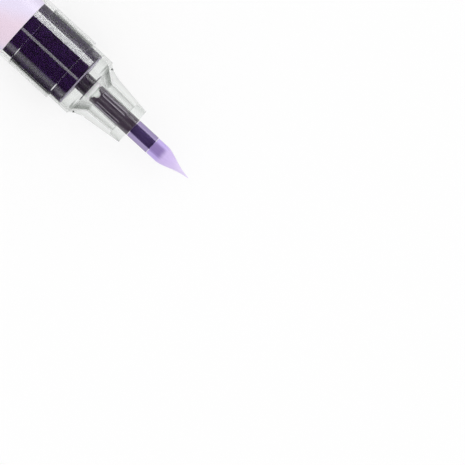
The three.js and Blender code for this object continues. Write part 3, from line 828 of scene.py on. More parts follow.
@dataclass(frozen=True)
class MouldedPlastic:
    """Coloured moulded plastic with a fine skin and faint handling marks."""

    GLINT_EDGE: ClassVar[str] = "edge"  # name of the attribute by which a piece marks the edges that get a painted highlight
    name: str  # name of the material
    colour: Colour  # its colour
    cloud: Colour  # colour that it drifts towards in soft patches
    roughness: float = 0.3  # roughness of its skin
    coat: float = 0.0  # weight of the clear gloss over it
    scatter: float = 0.0  # how far light spreads inside it
    edge: Colour | None = None  # painted highlight: lighter colour of the edges that a piece marks
    depth: float = 0.004  # depth of its grain
    wear: float = 0.12  # how much rougher a handling mark is
    patches: Point = (0.35, 0.7)  # values of the soft patches between which the colours mix

    def make(self) -> bpy.types.Material:
        """Makes the material.

        Returns:
            The material.
        """
        material, wiring, shader, _ = new_material(self.name)
        skin = wiring.group(GROUPS.grain, Size=0.35, Roughness=self.roughness, Spread=0.08)
        marks = wiring.group(GROUPS.marks, Size=0.3, Amount=0.35)
        colour = wiring.mix(skin["Cloud"].step(*self.patches), self.colour, self.cloud)
        # Painted highlight: the marked flute edges get a lighter colour, standing in for their glints.
        if self.edge:
            glint_marked = wiring.add("ShaderNodeAttribute", attribute_name=self.GLINT_EDGE)["Fac"]
            colour = wiring.mix(glint_marked, colour, self.edge)
        shader.feed({
            "Base Color": colour,
            "Roughness": (marks["Mask"] * self.wear + skin["Roughness"]).clamped(),
            "Normal": wiring.bump(skin["Height"], self.depth),
            "Coat Weight": self.coat,
            "Coat Roughness": 0.1,
        })
        if self.scatter:
            shader.feed({
                "Subsurface Weight": 0.6,
                "Subsurface Scale": self.scatter * MM,
                "Subsurface Radius": (1.0, 0.8, 1.0),
            })
        return material


@dataclass(frozen=True)
class WetPaint:
    """Liquid paint behind a clear wall that it wets, with slow swirls of pigment."""

    name: str  # name of the material
    deep: Colour = (0.02, 0.002, 0.04)  # its darkest colour
    bright: Colour = (0.027, 0.005, 0.065)  # colour of the pigment swirls
    mirror: float = 3.0  # refractive index of the skin, which sets how strongly the wetted wall mirrors
    stretch: float = 0.4  # how much the swirls are drawn out along the marker
    swirl_scale: float = 260.0  # scale of the swirls, per metre
    distortion: float = 1.2  # how much the swirls are bent
    swirls: Point = (0.4, 0.75)  # values of the swirls between which the colours mix
    skin: Point = (0.2, 0.3)  # how much the roughness under the mirror varies, and its least value

    def make(self) -> bpy.types.Material:
        """Makes the material.

        Returns:
            The material.
        """
        material, wiring, shader, _ = new_material(self.name)
        mapping = {"Vector": wiring.object_place(), "Scale": (self.stretch, 1, 1)}
        place = wiring.add("ShaderNodeMapping", mapping)[0]
        swirl = wiring.noise(place, self.swirl_scale, 3.0, Distortion=self.distortion)
        shader.feed({
            "Base Color": wiring.mix(swirl.step(*self.swirls), self.deep, self.bright),
            "Roughness": swirl * self.skin[0] + self.skin[1],
            "Specular IOR Level": 0.1,
            "Coat Weight": 1.0,
            "Coat Roughness": 0.0,
            "Coat IOR": self.mirror,
        })
        return material


@dataclass(frozen=True)
class PearlFilm:
    """Printed film that drifts softly between lavender and pink round the marker."""

    lavender: Colour = (0.83, 0.755, 0.94)  # colour of one side
    pink: Colour = (0.84, 0.68, 0.8)  # colour of the other
    bare: Colour = (0.9, 0.89, 0.91)  # colour of the unprinted edges
    pink_turn: float = 0.06  # where the film is pinkest, in turns from straight up towards -Y
    twist: float = 0.012  # how far that place turns along the marker, in turns per millimetre
    margin: float = 0.05  # width of the unprinted edge at each end
    cloudiness: float = 0.3  # how much soft patches move the border between the colours
    border: Point = (-0.3, 1.1)  # values of the wave between which lavender turns into pink

    def make(self) -> bpy.types.Material:
        """Makes the material.

        Returns:
            The material.
        """
        span = AXIS.span("label_wrap")
        material, wiring, shader, _ = new_material("label_film")
        axial = wiring.group(GROUPS.axial)
        station = axial["Station"]
        skin = wiring.group(GROUPS.grain, Size=0.12, Roughness=0.45, Spread=0.05)
        turn = axial["Turn"] + (station - span.front) * self.twist - self.pink_turn
        wave = wiring.math("COSINE", turn * (2 * FULL_TURN))
        cloud = skin["Cloud"] * self.cloudiness + wave
        colour = wiring.mix(cloud.step(*self.border), self.lavender, self.pink)
        edge = (station < span.rear + self.margin).most(station > span.front - self.margin)
        shader.feed({
            "Base Color": wiring.mix(edge, colour, self.bare),
            "Roughness": skin["Roughness"],
            "Normal": wiring.bump(skin["Height"], 0.001),
            "Specular IOR Level": 0.15,
        })
        return material


@dataclass(frozen=True)
class SoakedFibre:
    """Felted fibre that is dark with paint at its root and pale at its point."""

    core: Colour = (0.2, 0.14, 0.3)  # colour inside the ferrule
    root: Colour = (0.27, 0.18, 0.46)  # colour just in front of the ferrule, where the core shows through
    skirt: Colour = (0.52, 0.4, 0.82)  # paler colour where the root turns away from view: partly the fibre's own paler skin, partly painted sheen
    tip: Colour = (0.62, 0.49, 0.84)  # colour of the taper
    point: Colour = (0.78, 0.68, 0.93)  # colour at the very point
    soaked: float = 0.45  # how far the core's colour reaches out of the ferrule
    root_length: float = 2.6  # how far the root's colour reaches from there
    core_fade: float = 0.15  # half the length over which the core's colour fades out
    tip_start: Point = (-0.5, 1.0)  # distances from the root's end between which the tip's colour sets in
    sheen_turn: Point = (0.05, 0.3)  # how far the surface turns away where the paler colour and its painted sheen start, and are full
    strands: Point = (70.0, 0.35)  # scale of the strands, per turn and per millimetre
    ragged: float = 0.9  # how far the strands draw the borders between the colours out
    shading: Point = (0.35, 0.82)  # how much a strand's brightness varies, and its least brightness

    def make(self) -> bpy.types.Material:
        """Makes the material.

        Returns:
            The material.
        """
        material, wiring, shader, _ = new_material("nib_fibre")
        axial = wiring.group(GROUPS.axial)
        station = axial["Station"]
        place = wiring.combine(axial["Turn"] * self.strands[0], station * self.strands[1], axial["Radius"])
        strand = wiring.noise(place, 1.0, 3.0)
        ragged = strand * self.ragged + station
        root_rear = AXIS.span("nib_ferrule").front + self.soaked
        root_end = root_rear + self.root_length
        tip_rear, tip_front = (root_end + distance for distance in self.tip_start)
        # Partly painted sheen: the root is paler where its surface turns away from view, over the fibre's own
        # paler skin.
        colour = wiring.mix(wiring.facing().step(*self.sheen_turn), self.root, self.skirt)
        core_end = ragged.step(root_rear - self.core_fade, root_rear + self.core_fade)
        colour = wiring.mix(core_end, self.core, colour)
        colour = wiring.mix(ragged.step(tip_rear, tip_front), colour, self.tip)
        colour = wiring.mix(ragged.step(tip_front, AXIS.span("brush_nib").front), colour, self.point)
        shade = strand * self.shading[0] + self.shading[1]
        grey = wiring.add("ShaderNodeCombineColor", {0: shade, 1: shade, 2: shade})[0]
        shader.feed({
            "Base Color": wiring.mix(1.0, colour, grey, "MULTIPLY"),
            "Roughness": 0.55,
            "Sheen Weight": 0.15,
            "Normal": wiring.bump(strand, 0.03),
        })
        return material


@dataclass(frozen=True)
class PolishedSteel:
    """Polished steel with fine drawing marks."""

    colour: Colour = (0.6, 0.6, 0.62)  # its colour
    roughness: float = 0.14  # roughness between its marks

    def make(self) -> bpy.types.Material:
        """Makes the material.

        Returns:
            The material.
        """
        material, wiring, shader, _ = new_material("polished_steel")
        skin = wiring.group(GROUPS.grain, Size=0.1, Roughness=self.roughness, Spread=0.1)
        shader.feed({
            "Metallic": 1,
            "Base Color": self.colour,
            "Roughness": skin["Roughness"],
            "Normal": wiring.bump(skin["Height"], 0.001),
        })
        return material


class Finishes:
    """The finishes of the marker, each made once."""

    def __init__(self) -> None:
        """Makes the materials."""
        # Painted highlight: the frosted rims of the barrel and the nose carry a painted glint.
        # Painted shade: the clear plastics' edge colours darken them where their walls turn away.
        self.barrel = ClearPlastic("clear_barrel", (0.985, 0.99, 0.985), frosted=(-0.12,)).make()
        self.tank = ClearPlastic("clear_tank", (0.99, 0.99, 0.99)).make()
        # Painted shade: the nose's slope sets where its inner cone gets a painted grey.
        self.nose = ClearPlastic(
            "clear_nose", (0.938, 0.948, 0.94), (0.62, 0.64, 0.62), fade=2.0, slope=(4.6, 8.1),
            frosted=(-10.45,),
        ).make()
        self.guide = ClearPlastic("clear_guide", (0.99, 0.99, 0.99), (0.3, 0.32, 0.3), fade=2.5).make()
        self.ferrule = ClearPlastic(
            "violet_ferrule", (0.38, 0.31, 0.53), (0.2, 0.17, 0.25), roughness=0.05, shade=0.75
        ).make()
        self.paint = WetPaint("violet_paint").make()
        self.wetted = WetPaint("wetted_plastic").make()
        self.label = PearlFilm().make()
        self.fibre = SoakedFibre().make()
        self.steel = PolishedSteel().make()
        self.dark = MouldedPlastic(
            "dark_plastic", (0.032, 0.017, 0.04), (0.042, 0.025, 0.052), 0.26, coat=0.8
        ).make()
        # Painted highlight: the holder's edge colour lights the edges of its flutes.
        self.holder = MouldedPlastic(
            "holder_plastic", (0.05, 0.032, 0.056), (0.062, 0.042, 0.068), 0.3, coat=1.0,
            edge=(0.36, 0.32, 0.4),
        ).make()
        self.white = MouldedPlastic(
            "white_plastic", (0.93, 0.91, 0.94), (0.95, 0.94, 0.96), 0.4, scatter=0.6
        ).make()
        self.seal = MouldedPlastic("seal_rubber", (0.3, 0.26, 0.36), (0.36, 0.31, 0.42), 0.45).make()
        self.rubber = MouldedPlastic(
            "black_rubber", (0.018, 0.017, 0.02), (0.03, 0.028, 0.032), 0.7
        ).make()
        self.violet = MouldedPlastic(
            "violet_plastic", (0.055, 0.028, 0.115), (0.07, 0.037, 0.145), 0.28, coat=0.5
        ).make()
        self.lilac = MouldedPlastic(
            "lilac_plastic", (0.45, 0.33, 0.68), (0.5, 0.38, 0.74), 0.3, coat=0.4
        ).make()


@dataclass
class SubAssembly:
    """Pieces that are built together."""

    finishes: Finishes  # the marker's finishes

    def build(self) -> None:
        """Makes the pieces."""
        raise NotImplementedError


def run_nodes(piece: bpy.types.Object, tree: bpy.types.NodeTree, values: Mapping[str, Any]) -> None:
    """Runs a geometry node tree on a piece and keeps the mesh that it makes.

    Args:
        piece: The piece.
        tree: The tree.
        values: Value of each named input.
    """
    modifier = piece.modifiers.new(tree.name, "NODES")
    modifier.node_group = tree
    for item in tree.interface.items_tree:
        if item.item_type == "SOCKET" and item.in_out == "INPUT" and item.name in values:
            modifier[item.identifier] = values[item.name]
    bake_modifiers(piece)


def close_tree(
    wiring: Wiring, out: Node, geometry: Wire, material: bpy.types.Material
) -> bpy.types.NodeTree:
    """Ends a geometry node tree in Realize Instances and Set Material.

    Args:
        wiring: The tree's wiring.
        out: Its output node.
        geometry: The geometry so far.
        material: The material that its faces get.

    Returns:
        The tree.
    """
    real = wiring.add("GeometryNodeRealizeInstances", {0: geometry})[0]
    out.feed({0: wiring.add("GeometryNodeSetMaterial", {"Geometry": real, "Material": material})[0]})
    return wiring.tree


def radial_nodes(wiring: Wiring) -> tuple[Wire, Wire, Wire, Wire]:
    """Adds the nodes that find where a vertex lies about the marker's axis.

    Args:
        wiring: The tree's wiring.

    Returns:
        The station in metres, the angle, the radius in metres and the outward direction.
    """
    place = wiring.split(wiring.add("GeometryNodeInputPosition")[0])
    side = AXIS.y - place["Y"]
    rise = place["Z"] - AXIS.z
    flat = wiring.combine(0.0, side * -1.0, rise)
    length = wiring.add("ShaderNodeVectorMath", {0: flat}, operation="LENGTH")["Value"]
    outward = wiring.add("ShaderNodeVectorMath", {0: flat}, operation="NORMALIZE")[0]
    return place["X"] - AXIS.rim_x, wiring.math("ARCTAN2", side, rise), length, outward


def move_outward(wiring: Wiring, geometry: Wire, outward: Wire, amount: Wire) -> Wire:
    """Adds a node that moves vertices along their outward direction, and returns its output."""
    offset = wiring.add("ShaderNodeVectorMath", {0: outward, "Scale": amount}, operation="SCALE")[0]
    return wiring.add("GeometryNodeSetPosition", {"Geometry": geometry, "Offset": offset})[0]


@dataclass
class ClearBarrel(SubAssembly):
    """The clear outer barrel."""

    wall: float = 0.85  # thickness of its wall
    snap_depth: float = 10.6  # how far the nose's skirt reaches into it
    snap_width: float = 0.7  # width of the groove for the skirt's bead
    bead: float = 0.12  # height of the bead over the skirt
    rim: float = 0.18  # rounding of its rims

    def build(self) -> None:
        """Makes the barrel."""
        span = AXIS.span("barrel")
        bore = span.radius - self.wall
        groove = AXIS.span("nose").radius + FIT
        counterbore = groove - self.bead
        groove_rear, groove_front = -self.snap_depth, self.snap_width - self.snap_depth
        piece = turned("barrel_tube", [
            (span.rear, bore, 0.1), (span.rear, span.radius, self.rim), (span.front, span.radius, self.rim),
            (span.front, counterbore, 0.08), (groove_front, counterbore, 0.05), (groove_front, groove, 0.05),
            (groove_rear, groove, 0.05), (groove_rear, bore, 0.05),
        ])
        dress(piece, self.finishes.barrel, Body.MARKER, "barrel")


@dataclass
class PaintSupply(SubAssembly):
    """The tank with its label, its paint, its plug, its gasket and the ball that stirs the paint."""

    tank_wall: float = 0.25  # thickness of the tank's wall
    wetting: float = 0.02  # how far the paint's skin lies inside the tank's wall
    film: float = 0.1  # thickness of the label
    valve_room: float = 4.35  # radius of the space that the paint leaves for the valve
    channel_gap: float = 0.15  # gap between the ball and its channel in the paint
    channel_front: float = -18.0  # station of the channel's front end
    channel_sides: int = 48  # how many sides the channel has
    plug_depth: float = 5.0  # how far the plug reaches into the tank

    def build(self) -> None:
        """Makes the tank and what belongs to it."""
        self._tank()
        self._label()
        self._paint()
        self._plug()
        self._gasket()
        self._ball()

    def _tank(self) -> None:
        """Makes the tank's tube."""
        span = AXIS.span("paint_tank")
        piece = turned("tank_tube", sleeve(span, span.radius - self.tank_wall, 0.08, 0.1))
        dress(piece, self.finishes.tank, Body.MARKER, "paint_tank")

    def _label(self) -> None:
        """Makes the printed film round the tank."""
        span = AXIS.span("label_wrap")
        piece = turned("label_film", sleeve(span, span.radius - self.film, 0.0, 0.04))
        dress(piece, self.finishes.label, Body.MARKER, "label_wrap")

    def _paint(self) -> None:
        """Makes the paint, with room for the valve and a channel for the ball."""
        span = AXIS.span("paint")
        valve = AXIS.span("valve_body")
        skin = AXIS.span("paint_tank").radius - self.tank_wall + self.wetting
        flange = Valve.flange_radius() + FIT
        ledge, room_rear = valve.front - self.film, valve.rear - SEAT
        piece = turned("paint_charge", [
            (span.rear, 0, 0), (span.rear, skin, 0.3), (ledge, skin, 0.05), (ledge, flange, 0.0),
            (span.front, flange, 0.0), (span.front, self.valve_room, 0.05),
            (room_rear, self.valve_room, 0.05), (room_rear, 0, 0),
        ])
        low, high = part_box("mixing_ball")
        centre = (low + high) / 2
        rear = AXIS.rim_x + (span.rear - OVERSHOOT) * MM
        length = AXIS.rim_x + self.channel_front * MM - rear
        bpy.ops.mesh.primitive_cylinder_add(
            vertices=self.channel_sides, radius=(high.z - low.z) / 2 + self.channel_gap * MM, depth=length,
            rotation=(0, math.pi / 2, 0), location=(rear + length / 2, centre.y, centre.z),
        )
        combine(piece, bpy.context.object, Change.CUT)
        dress(piece, self.finishes.paint, Body.MARKER, "paint")

    def _plug(self) -> None:
        """Makes the plug in the tank's rear end."""
        span = AXIS.span("tank_plug")
        flange = span.front - self.plug_depth - FIT
        neck = span.radius - self.tank_wall - FIT
        piece = turned("tank_end_plug", [
            (span.rear, 0, 0), (span.rear, span.radius, 0.25), (flange, span.radius, 0.08),
            (flange, neck, 0.05), (span.front, neck, 0.4), (span.front, 0, 0),
        ], Sides.MIDDLE)
        dress(piece, self.finishes.white, Body.MARKER, "tank_plug")

    def _gasket(self) -> None:
        """Makes the gasket in front of the tank."""
        piece = turned("front_seal", sleeve(AXIS.span("front_gasket"), Valve.neck_hole(), 0.04, 0.06))
        dress(piece, self.finishes.seal, Body.MARKER, "front_gasket")

    def _ball(self) -> None:
        """Makes the ball that stirs the paint."""
        low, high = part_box("mixing_ball")
        centre = (low + high) / 2
        bpy.ops.mesh.primitive_ico_sphere_add(subdivisions=5, radius=(high.z - low.z) / 2)
        piece = bpy.context.object
        piece.name = "stirring_ball"
        for vertex in piece.data.vertices:
            vertex.co += centre
        finish_shading(piece.data)
        dress(piece, self.finishes.steel, Body.BALL, "mixing_ball")


@dataclass
class ClearNose(SubAssembly):
    """The clear nose with the clear guide inside it."""

    skirt: float = 0.5  # thickness of the skirt that snaps into the barrel
    bead: float = 0.12  # height of the snap bead
    bead_width: float = 0.5  # width of the snap bead
    straight: float = 5.1  # length of the bare cylinder in front of the barrel
    flare: float = 3.2  # length of the hollow flare
    flare_radius: float = 5.2  # radius where the flare ends
    # place of the point that the flare bends towards, from its start and over its end's radius
    flare_pull: Point = (0.6, 0.65)
    flare_steps: int = 12  # how many steps the flare has
    lip_radius: float = 4.12  # radius of the front lip
    lip_wall: float = 0.15  # thickness of the lip
    lip_draft: float = 0.1  # how much the lip's bore narrows towards the recess's floor
    recess: float = 2.5  # depth of the recess behind the lip
    ledge: float = 0.3  # height of the ledge that the gasket is pressed on
    cone: Point = (4.66, 7.9)  # stations where the inner cone starts and ends
    throat: Point = (3.65, 3.35)  # radius of the throat at its rear and at its front
    guide_gap: float = 0.12  # gap round the guide
    funnel: float = 2.3  # length of the guide's funnel
    mouth: float = 3.65  # radius of the guide's mouth

    def build(self) -> None:
        """Makes the nose and the guide."""
        self._shell()
        self._guide()

    def _flare_corners(self, radius: float) -> list[Corner]:
        """Lays out the hollow flare.

        Args:
            radius: Radius of the cylinder that it starts from.

        Returns:
            Its corners, up to the taper.
        """
        start = Vector((self.straight, radius))
        pull = Vector((self.straight + self.flare_pull[0], self.flare_radius + self.flare_pull[1]))
        end = Vector((self.straight + self.flare, self.flare_radius))
        steps = self.flare_steps
        return [(*bent(start, pull, end, k / steps), 0.0) for k in range(1, steps + 1)]

    def _shell(self) -> None:
        """Makes the nose itself."""
        span = AXIS.span("nose")
        outer = span.radius - self.bead
        bore = outer - self.skirt
        ledge_front, ledge = AXIS.span("front_gasket").front + SEAT, bore - self.ledge
        bead_front = span.rear + self.bead_width
        recess_rear = span.front - self.recess
        lip_bore = self.lip_radius - self.lip_wall
        piece = turned("nose_shell", [
            (span.rear, bore, 0.05), (span.rear, span.radius, 0.08), (bead_front, span.radius, 0.08),
            (bead_front, outer, 0.04), (self.straight, outer, 0.3), *self._flare_corners(outer),
            (span.front, self.lip_radius, 0.07), (span.front, lip_bore, 0.05),
            (recess_rear, lip_bore - self.lip_draft, 0.08), (recess_rear, self.throat[1], 0.08),
            (self.cone[1], self.throat[0], 0.8), (self.cone[0], ledge, 0.6), (ledge_front, ledge, 0.05),
            (ledge_front, bore, 0.05),
        ])
        dress(piece, self.finishes.nose, Body.MARKER, "nose")

    def _guide(self) -> None:
        """Makes the guide that steers the nib holder."""
        span, nose = AXIS.span("nib_guide"), AXIS.span("nose")
        ledge = nose.radius - self.bead - self.skirt - self.ledge
        share = (span.rear - self.cone[0]) / (self.cone[1] - self.cone[0])
        rear_radius = ledge + share * (self.throat[0] - ledge) - self.guide_gap
        share = (span.front - self.cone[1]) / (nose.front - self.recess - self.cone[1])
        front_radius = self.throat[0] + share * (self.throat[1] - self.throat[0]) - self.guide_gap
        bore = AXIS.span("nib_holder").radius + self.guide_gap
        piece = turned("guide_bush", [
            (span.rear, self.mouth, 0.15), (span.rear, rear_radius, 0.15),
            (self.cone[1], self.throat[0] - self.guide_gap, 0.8), (span.front, front_radius, 0.12),
            (span.front, bore, 0.12), (span.rear + self.funnel, bore, 0.8),
        ], Sides.MIDDLE)
        dress(piece, self.finishes.guide, Body.MARKER, "nib_guide")


@dataclass
class Valve(SubAssembly):
    """The valve in the tank's front end, with the white tip of its stem."""

    FLANGE_MARGIN: ClassVar[float] = 0.25  # room for paint round the flange
    NECK_GAP: ClassVar[float] = 0.12  # gap round the stem's neck
    STEM_RADIUS: ClassVar[float] = 2.07  # radius of the stem
    COIL_STEPS: ClassVar[tuple[int, int]] = (360, 12)  # steps of the spring along its wire and round it
    cup_wall: float = 0.7  # thickness of the valve's cup
    cup_radius: float = 4.3  # outer radius of the cup
    flange: float = 0.75  # thickness of the flange that closes the tank
    front_wall: float = 1.6  # thickness of the wall that the seal closes on
    windows: int = 4  # number of windows in the cup
    window_size: Point = (5.0, 1.8)  # length and width of a window
    retainer_hole: float = 1.2  # radius of the hole in the spring's ring
    head_radius: float = 3.1  # radius of the stem's head
    head_length: float = 1.2  # length of the stem's head
    disc: float = 0.25  # thickness of the stem's disc
    bore: float = 0.8  # radius of the stem's bore
    spigot: float = 1.7  # radius of the stem's rear spigot
    spigot_length: float = 2.8  # length of that spigot
    spring_turns: float = 7.0  # turns of the spring
    wire: float = 0.25  # radius of the spring's wire
    travel: float = 2.2  # how far the nib is pressed in
    tip_length: float = 0.85  # length of the white tip up to its shoulder
    tip_cone: Point = (0.7, 1.0)  # length of the cone in front of the shoulder, and its radius where it ends
    tip_rod: float = 0.72  # radius of the tip's front rod
    # distance of the tongues' feet from the axis, and of their tops from the holder's outside
    tongue_ends: Point = (0.3, 0.25)

    @staticmethod
    def flange_radius() -> float:
        """Returns the radius of the flange that closes the tank."""
        return AXIS.span("valve_body").radius - Valve.FLANGE_MARGIN

    @staticmethod
    def neck_hole() -> float:
        """Returns the radius of the holes that the stem slides in."""
        return Valve.STEM_RADIUS + Valve.NECK_GAP

    def build(self) -> None:
        """Makes the valve's pieces."""
        self._cup()
        self._retainer()
        self._spring()
        self._stem()
        self._seal()
        self._tip()

    @staticmethod
    def _window_tree(material: bpy.types.Material) -> bpy.types.NodeTree:
        """Builds the tree that cuts windows round the valve's cup.

        Args:
            material: The material that the faces get.

        Returns:
            The tree.
        """
        inputs = {
            "Geometry": None, "Count": 4, "Length": 0.005, "Width": 0.0018, "Radius": 0.004, "Station": 0.0,
        }
        wiring, into, out = new_group("valve_windows", Kind.GEOMETRY, inputs, ("Geometry",))
        ring = wiring.add("GeometryNodeMeshCircle", {"Vertices": into["Count"], "Radius": into["Radius"]})[0]
        upright = wiring.add("GeometryNodeTransform", {"Geometry": ring, "Rotation": (0, math.pi / 2, 0)})[0]
        size = wiring.combine(into["Length"], into["Width"], into["Radius"])
        place = wiring.add("GeometryNodeInputPosition")[0]
        facing = wiring.add("FunctionNodeAlignRotationToVector", {"Vector": place}, axis="Z", pivot_axis="X")
        cutter = wiring.add("GeometryNodeMeshCube", {"Size": size})
        placed = wiring.add("GeometryNodeInstanceOnPoints", {
            "Points": upright, "Instance": cutter[0], "Rotation": facing[0],
        })[0]
        where = wiring.combine(into["Station"], AXIS.y, AXIS.z)
        moved = wiring.add("GeometryNodeTransform", {"Geometry": placed, "Translation": where})[0]
        real = wiring.add("GeometryNodeRealizeInstances", {0: moved})[0]
        cut = wiring.add(
            "GeometryNodeMeshBoolean", {0: into["Geometry"], 1: real}, operation="DIFFERENCE", solver="EXACT"
        )
        return close_tree(wiring, out, cut[0], material)

    def _cup(self) -> None:
        """Makes the cup that seats the valve."""
        span = AXIS.span("valve_body")
        inner = self.cup_radius - self.cup_wall
        flange_rear, flange = span.front - self.flange, self.flange_radius()
        seat, hole = span.front - self.front_wall, self.neck_hole()
        piece = turned("valve_cup", [
            (span.rear, inner, 0.1), (span.rear, self.cup_radius, 0.2), (flange_rear, self.cup_radius, 0.15),
            (flange_rear, flange, 0.06), (span.front, flange, 0.1), (span.front, hole, 0.08),
            (seat, hole, 0.05), (seat, inner, 0.1),
        ], Sides.MIDDLE)
        run_nodes(piece, self._window_tree(self.finishes.wetted), {
            "Count": self.windows,
            "Length": self.window_size[0] * MM,
            "Width": self.window_size[1] * MM,
            "Radius": self.cup_radius * MM,
            "Station": AXIS.rim_x + (span.rear + seat) / 2 * MM,
        })
        dress(piece, self.finishes.wetted, Body.MARKER, "valve_body")

    def _retainer(self) -> None:
        """Makes the ring that the spring stands on."""
        corners = sleeve(AXIS.span("valve_retainer"), self.retainer_hole, 0.1, 0.1, front=0.2)
        piece = turned("spring_retainer", corners, Sides.MIDDLE)
        dress(piece, self.finishes.dark, Body.MARKER, "valve_retainer")

    @staticmethod
    def _spring_tree(material: bpy.types.Material) -> bpy.types.NodeTree:
        """Builds the tree that winds the spring, with a closed turn at each end.

        Args:
            material: The material that the faces get.

        Returns:
            The tree.
        """
        inputs = {
            "Geometry": None, "Turns": 7.0, "Mean Radius": 0.0025, "Wire Radius": 0.00025, "Length": 0.007,
            "Start": 0.0,
        }
        wiring, into, out = new_group("spring_winding", Kind.GEOMETRY, inputs, ("Geometry",))
        along_wire, round_wire = Valve.COIL_STEPS
        line = wiring.add("GeometryNodeCurvePrimitiveLine")[0]
        dense = wiring.add("GeometryNodeResampleCurve", {"Curve": line, "Count": along_wire})[0]
        turns, mean, thin = into["Turns"], into["Mean Radius"], into["Wire Radius"]
        wound = wiring.add("GeometryNodeSplineParameter")["Factor"] * turns
        angle = wound * FULL_TURN
        wire = thin * 2.0
        first = wire * wiring.math("MINIMUM", wound, 1.0)
        last = wire * (wound - (turns - 1.0)).clamped()
        opened = ((wound - 1.0) / (turns - 2.0)).clamped() * (into["Length"] - wire * 3.0)
        along = first + last + opened
        place = wiring.combine(
            along + (into["Start"] + thin), wiring.math("SINE", angle) * mean + AXIS.y,
            wiring.math("COSINE", angle) * mean + AXIS.z,
        )
        coil = wiring.add("GeometryNodeSetPosition", {"Geometry": dense, "Position": place})[0]
        circle = {"Resolution": round_wire, "Radius": thin}
        section = wiring.add("GeometryNodeCurvePrimitiveCircle", circle)[0]
        drawn = wiring.add("GeometryNodeCurveToMesh", {
            "Curve": coil, "Profile Curve": section, "Fill Caps": True,
        })
        return close_tree(wiring, out, drawn[0], material)

    def _spring(self) -> None:
        """Makes the spring. On the real marker it shortens as the nib is pressed."""
        span = AXIS.span("valve_spring")
        length = span.front - span.rear
        rear = AXIS.rim_x + span.rear * MM
        piece = new_object("valve_coil", bpy.data.meshes.new("valve_coil"))
        run_nodes(piece, self._spring_tree(self.finishes.steel), {
            "Turns": self.spring_turns,
            "Mean Radius": (span.radius - self.wire) * MM,
            "Wire Radius": self.wire * MM,
            "Length": length * MM,
            "Start": rear,
        })
        dress(piece, self.finishes.steel, Body.MARKER, "valve_spring")
        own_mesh(piece)

    def _stem(self) -> None:
        """Makes the stem, from its rear spigot to the disc in front of its neck."""
        span = AXIS.span("valve_stem")
        head_rear = span.rear + self.spigot_length
        head_front = head_rear + self.head_length
        disc_rear = span.front - self.disc
        piece = turned("valve_plunger", [
            (span.rear, 0, 0), (span.rear, self.spigot, 0.25), (head_rear, self.spigot, 0.1),
            (head_rear, self.head_radius, 0.1), (head_front, self.head_radius, 0.1),
            (head_front, self.STEM_RADIUS, 0.05), (disc_rear, self.STEM_RADIUS, 0.1),
            (disc_rear, span.radius, 0.08), (span.front, span.radius, 0.08), (span.front, self.bore, 0.1),
            (head_front, self.bore, 0.1), (head_front, 0, 0),
        ], Sides.MIDDLE)
        dress(piece, self.finishes.dark, Body.NIB, "valve_stem")

    def _seal(self) -> None:
        """Makes the rubber washer on the stem."""
        corners = sleeve(AXIS.span("stem_seal"), self.STEM_RADIUS + FIT, 0.08, 0.15)
        piece = turned("rubber_washer", corners, Sides.MIDDLE)
        dress(piece, self.finishes.rubber, Body.NIB, "stem_seal")

    def _tip(self) -> None:
        """Makes the white tip between the stem and the nib holder, with a tongue in each of its slots."""
        span, holder = AXIS.span("stem_tip"), AXIS.span("nib_holder")
        rear = AXIS.span("valve_stem").front + SEAT
        shoulder = rear + self.tip_length
        cone_end = shoulder + self.tip_cone[0]
        tail = self.bore - FIT
        piece = turned("white_tip", [
            (span.rear, 0, 0), (span.rear, tail, 0.15), (rear, tail, 0.05), (rear, span.radius, 0.12),
            (shoulder, span.radius, 0.2), (cone_end, self.tip_cone[1], 0.15), (cone_end, self.tip_rod, 0.08),
            (span.front, self.tip_rod, 0.15), (span.front, 0, 0),
        ], Sides.SMALL)
        stations = (holder.rear + FIT, holder.rear + BrushNib.SLOT_DEPTH - FIT)
        widths = (BrushNib.SLOT_WIDTHS[0] - FIT, BrushNib.SLOT_WIDTHS[1] - FIT)
        heights = (self.tongue_ends[0], holder.radius - self.tongue_ends[1])
        for angle in BrushNib.SLOTS:
            combine(piece, tongue("bar", stations, widths, heights, angle), Change.JOIN)
        dress(piece, self.finishes.white, Body.NIB, "stem_tip")


